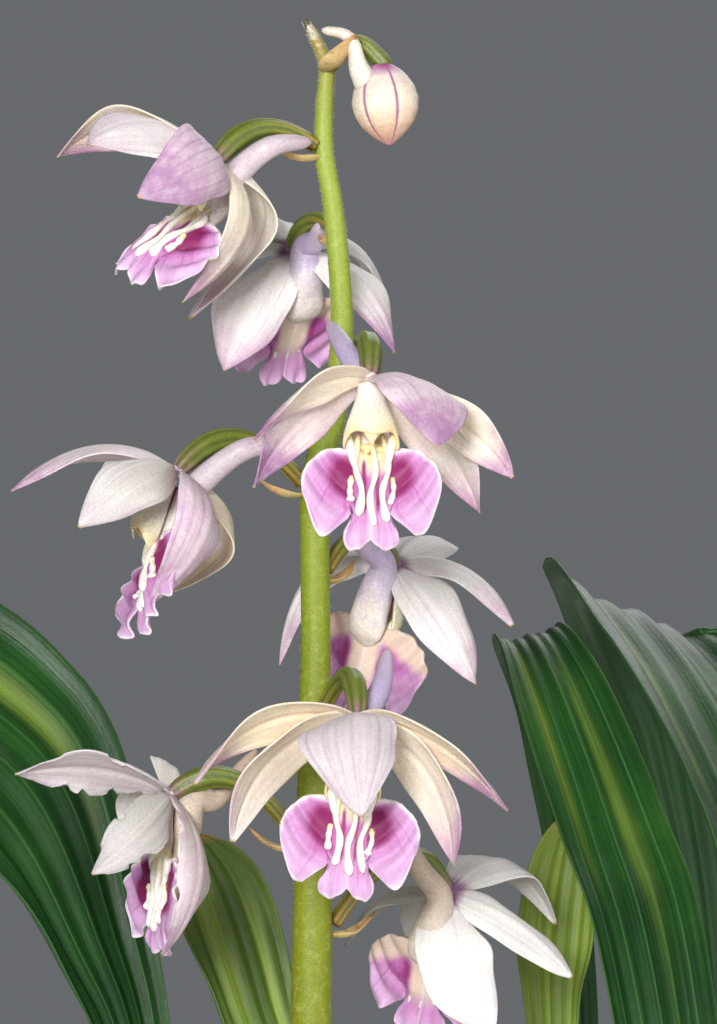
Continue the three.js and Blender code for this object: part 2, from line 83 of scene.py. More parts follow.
def spline(points):
    points = np.array(points, float)
    padded = np.vstack([2 * points[0] - points[1], points, 2 * points[-1] - points[-2]])
    last = len(points) - 2

    def at(u):
        place = np.clip(np.asarray(u, float), 0, 1) * (len(points) - 1)
        k = np.minimum(last, place.astype(int))
        t = (place - k)[..., None]
        a, b, c, d = padded[k], padded[k + 1], padded[k + 2], padded[k + 3]
        return b + 0.5 * t * (c - a) + t * t * (a - 2.5 * b + 2 * c - 0.5 * d) + t ** 3 * (1.5 * (b - c)
            + 0.5 * (d - a))
    return at


def tangents(at, u):
    return unit(at(np.minimum(1, u + 1e-3)) - at(np.maximum(0, u - 1e-3)))


def readOff(table):
    places, sizes = zip(*table)
    return lambda u: np.interp(u, places, sizes)


# Meshes are gathered from sheets and tubes, each with its own values for the materials

def gridFaces(rows, cols, around=False):
    i, j = np.meshgrid(np.arange(rows), np.arange(cols), indexing="ij")
    wide = cols if around else cols + 1
    after = (j + 1) % wide
    return np.stack([i * wide + j, i * wide + after, (i + 1) * wide + after, (i + 1) * wide + j],
        -1).reshape(-1, 4)


# Closes the first and the last ring with a fan around the points centre and centre + 1
def fans(sides, lastRing, centre):
    ring = np.arange(sides)
    following = (ring + 1) % sides
    low = np.stack([following, ring, ring * 0 + centre, ring * 0 + centre], -1)
    high = np.stack([ring + lastRing, following + lastRing, ring * 0 + centre + 1, ring * 0 + centre + 1], -1)
    return np.concatenate([low, high])


def sheet(middle, facing, thickness, values, material=0):
    rows, cols = middle.shape[0] - 1, middle.shape[1] - 1
    normal = unit(np.cross(np.gradient(middle, axis=1), np.gradient(middle, axis=0)))
    flipped = np.sum(normal * facing, -1).mean() < 0
    normal = -normal if flipped else normal
    count = (rows + 1) * (cols + 1)
    half = (np.broadcast_to(thickness, middle.shape[:2]) / 2)[..., None] * normal
    points = np.concatenate([(middle + half).reshape(-1, 3), (middle - half).reshape(-1, 3)])
    index = np.arange(count).reshape(rows + 1, cols + 1)
    rim = np.concatenate([index[0, :], index[1:, -1], index[-1, -2::-1], index[-2:0:-1, 0]])
    follow = np.roll(rim, -1)
    edge = np.stack([rim, rim + count, follow + count, follow], -1)
    faces = np.concatenate([gridFaces(rows, cols), gridFaces(rows, cols)[:, ::-1] + count, edge])
    data = {name: np.tile(np.broadcast_to(v, middle.shape[:2]).ravel(), 2) for name, v in values.items()}
    data["outer"] = np.repeat([0.0, 1.0], count)
    return {"points": points, "faces": faces[:, ::-1] if flipped else faces, "values": data,
        "material": material}


def tube(at, radius, sides=16, steps=40, flat=1.0, start=(0.3, 1, 0.2), ribs=0, ribDepth=0.0, shape=None,
        values=None, material=0):
    u = np.linspace(0, 1, steps + 1)
    centres, along = at(u), tangents(at, u)
    angles = np.linspace(0, 2 * math.pi, sides, endpoint=False)
    side, rings = vec(start), []
    for k in range(steps + 1):
        side = unit(side - side.dot(along[k]) * along[k])
        other = np.cross(along[k], side)
        size = radius(u[k]) * (1 + ribDepth * np.cos(ribs * angles))
        size = size * shape(u[k], angles) if shape else size
        deep = flat(u[k]) if callable(flat) else flat
        rings.append(centres[k] + np.outer(size * np.cos(angles), side)
            + np.outer(size * np.sin(angles) * deep, other))
    points = np.concatenate([np.array(rings).reshape(-1, 3), centres[:1], centres[-1:]])
    data = {"along": np.append(np.repeat(u, sides), [0, 1]),
            "turn": np.append(np.tile(angles / (2 * math.pi), steps + 1), [0, 0])}
    for name, value in (values or {}).items():
        data[name] = np.full(len(points), float(value))
    faces = np.concatenate([gridFaces(steps, sides, True), fans(sides, steps * sides, (steps + 1) * sides)])
    return {"points": points, "faces": faces, "values": data, "material": material}


def makePiece(name, parts, materials, nodes, rough=False):
    points, faces, slots, start = [], [], [], 0
    names = sorted({key for part in parts for key in part["values"]})
    values = {key: [] for key in names}
    for part in parts:
        points.append(part["points"])
        for face in (part["faces"] + start).tolist():
            faces.append(face[:3] if face[2] == face[3] else face)
        slots += [part["material"]] * len(part["faces"])
        for key in names:
            values[key].append(part["values"].get(key, np.zeros(len(part["points"]))))
        start += len(part["points"])
    mesh = bpy.data.meshes.new(name)
    mesh.from_pydata(np.concatenate(points).tolist(), [], faces)
    for key in names:
        attribute = mesh.attributes.new(key, "FLOAT", "POINT")
        attribute.data.foreach_set("value", np.concatenate(values[key]).astype(np.float32))
    for material in materials:
        mesh.materials.append(material)
    mesh.polygons.foreach_set("material_index", slots)
    mesh.polygons.foreach_set("use_smooth", [not rough] * len(faces))
    mesh.update()
    piece = bpy.data.objects.new(name, mesh)
    bpy.context.scene.collection.objects.link(piece)
    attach(piece, "root")
    if nodes:
        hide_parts(*nodes)
    return piece


# Half width of a pointed blade, widest at rise / (rise + fall) of its length
def bladeWidth(width, rise, fall):
    peak = rise / (rise + fall)
    top = (peak + 0.02) ** rise * (1 - peak) ** fall
    return lambda u: width / 2 * (u + 0.02) ** rise * np.maximum(0, 1 - u) ** fall / top


# A cupped blade along a curve, its inner face turned the way that facing gives
def blade(at, facing, half, rows, cols, cup, thickness, twist=(0, 0), relief=None, paint=None, margin=None,
        material=0):
    s = np.linspace(0, 1, rows + 1)
    u = 0.45 * s + 0.55 * (0.5 - 0.5 * np.cos(math.pi * s))
    v = np.sin(np.linspace(-1, 1, cols + 1) * 1.2) / math.sin(1.2)
    centre, along = at(u), tangents(at, u)
    inward = facing(centre, along)
    inward = unit(inward - np.sum(inward * along, -1, keepdims=True) * along)
    across = np.cross(along, inward)
    turn = np.radians(twist[0] + (twist[1] - twist[0]) * u)[:, None]
    inward, across = (inward * np.cos(turn) + np.cross(along, inward) * np.sin(turn),
                      across * np.cos(turn) + np.cross(along, across) * np.sin(turn))
    gridU, gridV = np.meshgrid(u, v, indexing="ij")
    reach = np.repeat(half(u)[:, None], cols + 1, 1)
    reach = reach * margin(gridU, gridV) if margin else reach
    angle = cup * gridV
    face = inward[:, None, :] * np.cos(angle)[..., None] - across[:, None, :] * np.sin(angle)[..., None]
    middle = (centre[:, None, :] + across[:, None, :] * (reach * np.sin(angle) / cup)[..., None]
              + inward[:, None, :] * (reach * (1 - np.cos(angle)) / cup)[..., None])
    if relief:
        middle = middle + face * relief(gridU, gridV, reach)[..., None]
    depth = thickness * (1 - 0.6 * np.abs(gridV) ** 3) * (1 - 0.5 * gridU ** 4)
    values = {"along": gridU, "across": gridV}
    values.update(paint(gridU, gridV) if paint else {})
    return sheet(middle, face, depth, values, material)


# Adds one node and gives back one output. Sockets, in order or by name, take a value or another output
def addNode(tree, kind, sockets=(), stops=(), out=0, **settings):
    node = tree.nodes.new("ShaderNode" + kind)
    for name, value in settings.items():
        setattr(node, name, value)
    for socket, value in sockets.items() if isinstance(sockets, dict) else enumerate(sockets):
        if isinstance(value, bpy.types.NodeSocket):
            tree.links.new(value, node.inputs[socket])
        else:
            node.inputs[socket].default_value = value
    for k, (place, colour) in enumerate(stops):
        element = node.color_ramp.elements[k] if k < 2 else node.color_ramp.elements.new(place)
        element.position, element.color = place, linear(colour)
    return node.outputs[out]


# Starts a material: its finish, the values that its meshes carry, and the place on the object
def startMaterial(name, keys=(), **finish):
    material = bpy.data.materials.new(name)
    material.use_nodes = True
    tree = material.node_tree
    for socket, value in finish.items():
        tree.nodes["Principled BSDF"].inputs[socket.replace("_", " ")].default_value = value
    values = {key: addNode(tree, "Attribute", attribute_name=key, out="Fac") for key in keys}
    return material, tree, values, addNode(tree, "TexCoord", out="Object")


# Lays colours over each other, each by its own mask
def layered(tree, colour, layers):
    for mask, over in layers:
        over = linear(over) if isinstance(over, str) else over
        colour = addNode(tree, "Mix", {0: mask, 6: colour, 7: over},
                         data_type="RGBA", out=2)
    return colour


# Fine light and dark specks over a colour
def speckled(tree, colour, cells, least, most):
    shade = addNode(tree, "MapRange", {"Value": cells, "From Min": 0.3, "From Max": 0.7, "To Min": least,
            "To Max": most})
    return addNode(tree, "Mix", {0: 1.0, 6: colour, 7: shade}, data_type="RGBA", blend_type="MULTIPLY", out=2)


# Gives a material its colour and its fine relief, with the depth in metres
def finished(material, colour, height, strength, depth):
    tree = material.node_tree
    surface = tree.nodes["Principled BSDF"]
    tree.links.new(colour, surface.inputs["Base Color"])
    normal = addNode(tree, "Bump", {"Height": height, "Strength": strength, "Distance": depth})
    tree.links.new(normal, surface.inputs["Normal"])
    return material


# A mask from the sum of weighted values, taken smoothly from low to high
def masked(tree, low, high, *terms, most=1.0):
    total = 0.0
    for weight, value in terms:
        total = addNode(tree, "Math", [value, weight, total], operation="MULTIPLY_ADD")
    return addNode(tree, "MapRange", {"Value": total, "From Min": low, "From Max": high, "To Max": most},
                   interpolation_type="SMOOTHSTEP")


# A pattern space that follows a blade, squeezed across it and stretched along it
def bladeSpace(tree, values, across, along):
    stretched = [addNode(tree, "Math", [values[key], size], operation="MULTIPLY")
        for key, size in (("across", across), ("along", along))]
    return addNode(tree, "CombineXYZ", [*stretched, values["seed"]])


# Thin lines along a blade, with a count from the middle to each margin
def veinLines(tree, values, count, width):
    place = addNode(tree, "Math", [values["across"], count], operation="MULTIPLY")
    return masked(tree, width, 0.0, (1, addNode(tree, "Math", [place, 0.5], operation="PINGPONG")))


# Petals and sepals: soft living tissue, matt, with veins along it and small cells that catch the light
petalLook = {"inner": "#f6f0ea", "cream": "#efdfc2", "lilac": "#dfc3d4", "purple": "#b27ba6",
    "violet": "#8f6fa8", "heart": "#7d3f74", "vein": "#b08bab", "tip": "#bf9c72", "grey": "#b9b9b4",
    "clouds": 4.5, "mottles": 1.3, "cells": 0.28, "streaks": 8}


def petalMaterial(name, look):
    material, tree, values, place = startMaterial(name, ("along", "across", "blush", "deep", "warm", "grey",
            "base", "seed"), Roughness=0.5, Subsurface_Weight=0.22, Subsurface_Scale=0.0012,
        Subsurface_Radius=(1.0, 0.6, 0.6), Specular_IOR_Level=0.35)
    clouds, cells = [addNode(tree, "TexNoise", {"Vector": place, "Scale": 1 / (look[key] * mm),
            "Detail": detail}) for key, detail in (("clouds", 5), ("cells", 1))]
    streaks = addNode(tree, "TexNoise", {"Vector": bladeSpace(tree, values, look["streaks"], 1.1),
            "Scale": 1.0, "Detail": 2, "Roughness": 0.5})
    mottles = addNode(tree, "TexNoise", {"Vector": place, "Scale": 1 / (look["mottles"] * mm), "Detail": 3})
    lines = veinLines(tree, values, 3.5, 0.2)
    colour = layered(tree, linear(look["inner"]), [
        (masked(tree, 0.35, 1.0, (1, values["warm"]), (0.5, clouds)), look["cream"]),
        (masked(tree, 0.72, 1.75, (1, values["blush"]), (0.9, clouds), (0.5, streaks), most=0.95),
            look["lilac"]),
        (masked(tree, 0.6, 1.5, (1.15, values["deep"]), (0.75, clouds), (0.2, streaks), most=0.95),
            look["purple"]),
        (masked(tree, 1.15, 1.9, (1.15, values["deep"]), (0.9, clouds), (0.2, streaks), most=0.5),
            look["violet"]),
        (masked(tree, 0.5, 0.9, (1, mottles), (0.15, values["blush"]), most=0.4), look["inner"]),
        # painted shade: grey over the blades that lie in shade
        (masked(tree, 0.4, 1.6, (1, values["grey"]), (0.7, streaks)), look["grey"]),
        (masked(tree, 0.6, 1.5, (0.3, lines), (0.3, values["blush"]), (0.25, values["deep"]),
            (0.7, streaks)), look["vein"]),
        (masked(tree, 0.3, 1.1, (1, values["base"]), (0.4, streaks), most=0.9), look["heart"]),
        (masked(tree, 0.98, 0.998, (1, values["along"])), look["tip"])])
    colour = speckled(tree, colour, cells, 0.9, 1.06)
    relief = addNode(tree, "Math", [cells, 0.6, streaks], operation="MULTIPLY_ADD")
    return finished(material, colour, relief, 0.35, 0.00009)


# The lip: the same tissue, stained magenta from its middle out and left white at the margins
lipLook = {"white": "#f2e5e9", "pink": "#d3a9d0", "magenta": "#b458a2", "wine": "#8a2460",
    "vein": "#a9559f", "backPeach": "#ead3bd", "gold": "#f0dba2", "freckle": "#a2502f", "clouds": 2.2,
    "cells": 0.25, "freckles": 0.5}


def lipMaterial(name, look):
    material, tree, values, place = startMaterial(name, ("stain", "wine", "rays", "peach", "gold", "pale"),
        Roughness=0.48, Subsurface_Weight=0.2, Subsurface_Scale=0.001, Subsurface_Radius=(1.0, 0.5, 0.7),
        Specular_IOR_Level=0.35)
    clouds, cells, spots = [addNode(tree, "TexNoise", {"Vector": place, "Scale": 1 / (look[key] * mm),
            "Detail": detail}) for key, detail in (("clouds", 5), ("cells", 1), ("freckles", 3))]
    veins = masked(tree, 0.5, 0.75, (1, addNode(tree, "TexNoise",
            {"Vector": addNode(tree, "CombineXYZ", [values["rays"]]), "Scale": 5.0, "Detail": 3})))
    colour = layered(tree, linear(look["white"]), [
        (masked(tree, 0.15, 0.62, (1, values["stain"]), (0.3, clouds)), look["pink"]),
        (masked(tree, 0.62, 1.22, (1, values["stain"]), (0.35, clouds), (0.2, veins)), look["magenta"]),
        (masked(tree, 0.1, 0.9, (0.35, veins), (0.25, values["stain"]), most=0.5), look["vein"]),
        (values["peach"], look["backPeach"]),
        (values["gold"], look["gold"]),
        (masked(tree, 1.05, 1.35, (0.6, values["gold"]), (1, spots)), look["freckle"]),
        (masked(tree, 0.45, 1.15, (1, values["wine"]), (0.4, clouds)), look["wine"]),
        (values["pale"], look["white"])])
    colour = speckled(tree, colour, cells, 0.92, 1.05)
    return finished(material, colour, cells, 0.3, 0.00007)


ovaryRibs = 6


# Thick waxy tissue in several colours along its length: keels, spur, column, ovary, bracts, bud
def waxMaterial(name, stops, rough=0.42, marks=None, amount=0.5, low=0.55, high=0.75, size=1.2, grain=0.3,
        bumpy=0.25, soft=0.25, furrowShade=None, seams=None):
    keys = ["along"] + ["turn"] * bool(furrowShade) + ["seams"] * bool(seams)
    material, tree, values, place = startMaterial(name, keys, Roughness=rough, Subsurface_Weight=soft,
        Subsurface_Scale=0.0012, Subsurface_Radius=(1.0, 0.7, 0.5), Specular_IOR_Level=0.4)
    clouds = addNode(tree, "TexNoise", {"Vector": place, "Scale": 1 / (size * mm), "Detail": 4})
    cells = addNode(tree, "TexNoise", {"Vector": place, "Scale": 1 / (grain * mm), "Detail": 1})
    shifted = addNode(tree, "Math", [clouds, 0.16, values["along"]], operation="MULTIPLY_ADD")
    shifted = addNode(tree, "Math", [shifted, 0.08], operation="SUBTRACT")
    colour = addNode(tree, "ValToRGB", [shifted], stops=stops)
    layers = [(masked(tree, low, high, (1, clouds), most=amount), marks)] if marks else []
    # painted shade: darker green in the furrows between the ribs
    if furrowShade:
        wave = addNode(tree, "Math", [addNode(tree, "Math", [values["turn"], ovaryRibs * 2 * math.pi],
                operation="MULTIPLY")], operation="COSINE")
        layers.append((masked(tree, 0.25, -0.75, (1, wave), (0.5, clouds)), furrowShade))
    if seams:
        layers.append((masked(tree, 0.25, 1.3, (1, values["seams"]), (0.4, clouds)), seams))
    colour = layered(tree, colour, layers)
    colour = speckled(tree, colour, cells, 0.86, 1.08)
    return finished(material, colour, cells, bumpy, 0.0001)


# Leaves: glossy, with a waxy skin, dark between the veins, with painted light: yellow-green patches and
# streaks where light falls on them
leafLook = {"dark": "#0e2f10", "green": "#235a1a", "paintedHighlight": "#869b38", "vein": "#45733a",
    "under": "#2f5a2c", "dry": "#9b7a45", "fibre": 0.9, "clouds": 22}


def leafMaterial(name, look):
    material, tree, values, place = startMaterial(name, ("along", "across", "lit", "outer", "seed"),
        Roughness=0.4, Subsurface_Weight=0.08, Subsurface_Scale=0.001, Specular_IOR_Level=0.4,
        Coat_Weight=0.06, Coat_Roughness=0.35)
    clouds = addNode(tree, "TexNoise", {"Vector": place, "Scale": 1 / (look["clouds"] * mm), "Detail": 5})
    fibres = addNode(tree, "TexNoise", {"Vector": bladeSpace(tree, values, 26, 4), "Scale": 1.0,
            "Detail": 4, "Roughness": 0.7})
    cells = addNode(tree, "TexNoise", {"Vector": place, "Scale": 1 / (look["fibre"] * mm), "Detail": 2})
    veins = veinLines(tree, values, 3.0, 0.06)
    colour = layered(tree, linear(look["dark"]), [
        (masked(tree, 0.35, 0.75, (0.6, clouds), (0.45, fibres)), look["green"]),
        # painted light: yellow-green where light falls on each leaf
        (masked(tree, 0.72, 1.55, (1, values["lit"]), (0.5, clouds), (0.4, fibres)), look["paintedHighlight"]),
        (addNode(tree, "Math", [veins, 0.6], operation="MULTIPLY"), look["vein"]),
        (addNode(tree, "Math", [values["outer"], 0.55], operation="MULTIPLY"), look["under"]),
        (masked(tree, 0.965, 1.0, (1, values["along"]), (0.02, clouds)), look["dry"])])
    rough = addNode(tree, "MapRange", {"Value": fibres, "From Min": 0.3, "From Max": 0.7, "To Min": 0.38,
            "To Max": 0.52})
    tree.links.new(rough, tree.nodes["Principled BSDF"].inputs["Roughness"])
    height = addNode(tree, "Math", [cells, 0.4, fibres], operation="MULTIPLY_ADD")
    return finished(material, colour, height, 0.4, 0.0003)


# Terracotta: fired clay, matt, with sandy grain, damp patches and a bloom of pale lime
clayLook = {"clay": "#a95f3f", "dark": "#7f4229", "pale": "#c98a66", "lime": "#d8c9b6", "moss": "#66683c",
    "sand": 0.9, "patches": 38}


def clayMaterial(name, look):
    material, tree, values, place = startMaterial(name, Roughness=0.85, Specular_IOR_Level=0.3)
    height = addNode(tree, "SeparateXYZ", [place], out=2)
    patches = addNode(tree, "TexNoise", {"Vector": place, "Scale": 1 / (look["patches"] * mm), "Detail": 6,
            "Roughness": 0.6})
    sand = addNode(tree, "TexNoise", {"Vector": place, "Scale": 1 / (look["sand"] * mm), "Detail": 3})
    turned = addNode(tree, "CombineXYZ", {2: addNode(tree, "Math", [height, 700], operation="MULTIPLY")})
    rings = addNode(tree, "TexNoise", {"Vector": turned, "Scale": 1.0, "Detail": 2})
    colour = layered(tree, linear(look["clay"]), [
        (masked(tree, 0.35, 0.62, (1, patches), most=0.8), look["dark"]),
        (masked(tree, 0.5, 0.75, (0.5, patches), (0.5, sand), most=0.7), look["pale"]),
        (masked(tree, 0.62, 0.86, (0.75, patches), (2.2, height), (0.1, sand), most=0.75), look["lime"]),
        (masked(tree, 0.42, 0.3, (0.9, patches), (1.0, height), most=0.45), look["moss"])])
    relief = addNode(tree, "Math", [rings, 1.6, sand], operation="MULTIPLY_ADD")
    return finished(material, colour, relief, 0.5, 0.0004)


# Bark mix: brown bark, pale pumice and fibre, rough and dull, each chip with its own tone
barkLook = {"stops": [(0, "#2c1c12"), (0.45, "#5b3d27"), (0.7, "#8a6443"), (0.86, "#a78b69"),
        (1, "#cfc4b2")], "fibre": 1.1}


def barkMaterial(name, look):
    material, tree, values, place = startMaterial(name, ("tone",), Roughness=0.9, Specular_IOR_Level=0.2)
    fibre = addNode(tree, "TexNoise", {"Vector": place, "Scale": 1 / (look["fibre"] * mm), "Detail": 4,
            "Roughness": 0.7})
    mixed = addNode(tree, "Math", [fibre, 0.3, values["tone"]], operation="MULTIPLY_ADD")
    mixed = addNode(tree, "Math", [mixed, 0.15], operation="SUBTRACT")
    colour = addNode(tree, "ValToRGB", [mixed], stops=look["stops"])
    return finished(material, colour, fibre, 0.8, 0.0006)


petalSkin = petalMaterial("orchid_petal_tissue", petalLook)
lipSkin = lipMaterial("orchid_lip_tissue", lipLook)
keelSkin = waxMaterial("waxy_cream_keels", [(0, "#f0d9a0"), (0.35, "#fbf3e2"), (1, "#fdf8ee")], rough=0.4,
    marks="#c98a5c", low=0.62, high=0.8)
spurLooks = [
    ("lilac", "#a995b6", ["#efe2cf", "#efe5dc", "#cdbfd2", "#bbabca", "#c6b6c8"], (0.48, 0.75)),
    ("pinkish", "#b9a0b2", ["#efe2cf", "#f0e7dc", "#ddd0d4", "#cfbfc8", "#c8b3bf"], (0.5, 0.8)),
    ("beige", "#a98f86", ["#efe2cf", "#ecdfcf", "#d9c8b8", "#cdb8a6", "#bfa796"], (0.5, 0.8))]
spurSkins = {name: waxMaterial("waxy_claw_and_" + name + "_spur", list(zip((0, 0.3, *places, 1), colours)),
        marks=marks, amount=0.35, size=2.5) for name, marks, colours, places in spurLooks}
columnSkin = waxMaterial("waxy_column_hood", [(0, "#efe6dc"), (0.4, "#f6f0e2"), (0.8, "#f5ebcb"),
        (1, "#efdca4")], rough=0.4, marks="#e6cdbd", amount=0.35, size=2.0)
# painted shade: a dark lining for the hollow of the column hood, darkest deep inside and paler towards its
# mouth
throatShadeSkin = waxMaterial("throat_lining_painted_shade", [(0, "#6d2740"), (0.6, "#8f3a4c"), (1, "#c79a6a")],
    rough=0.5, soft=0.1)
# the ovary's dark furrow colour is painted shade between its ribs
ovarySkin = waxMaterial("ribbed_ovary_skin", [(0, "#a07c3c"), (0.16, "#8b8233"), (0.5, "#74802a"),
        (0.85, "#6b772d"), (0.94, "#857653"), (1, "#9a6f86")], marks="#9a8540", amount=0.35,
    furrowShade="#5d6a28", size=1.4, bumpy=0.3)
bractSkin = waxMaterial("papery_bract", [(0, "#b8a55c"), (0.4, "#d6bb84"), (0.88, "#bf9160"),
        (1, "#7a5230")], rough=0.6, marks="#8a5a34", amount=0.6, size=1.0, soft=0.15)
budSkin = waxMaterial("bud_sepal_tissue", [(0, "#a84a8c"), (0.07, "#c795b4"), (0.16, "#e9d8cc"),
        (0.5, "#efdfcb"), (0.74, "#e6c7aa"), (0.92, "#d8a896"), (1, "#b9778c")], rough=0.45,
    marks="#e3c6cf", size=3.0, seams="#9c5488")
budSpurSkin = waxMaterial("bud_spur_tissue", [(0, "#ece0d2"), (0.5, "#e8dccb"), (1, "#dfd0be")],
    marks="#d3bfc0", amount=0.4)
leafSkin = leafMaterial("pleated_leaf_skin", leafLook)
sheathSkin = waxMaterial("bulb_and_papery_sheath", [(0, "#5a4127"), (0.3, "#8b7446"), (0.6, "#7f8a47"),
        (1, "#6a8440")], rough=0.55, marks="#4a3320", amount=0.7, low=0.45, high=0.7, size=3.5, grain=0.8,
    bumpy=0.5, soft=0.05)
clay = clayMaterial("fired_terracotta", clayLook)
bark = barkMaterial("bark_and_pumice_chips", barkLook)
print("materials made")


# Flower stem: crisp green stalk with a fine down, yellower below, its tip withered
scapeLook = {"stops": [(0, "#667421"), (0.16, "#808a17"), (0.3, "#828f1c"), (0.5, "#8d9e2b"),
        (0.8, "#99ab42"), (0.9, "#a0a244"), (0.95, "#a8893e"), (0.975, "#d8d2bf"), (1, "#3d372d")],
    "hairs": 6500, "hairLength": 0.24, "hairHalf": 0.000022, "hairFoot": 0.00002}
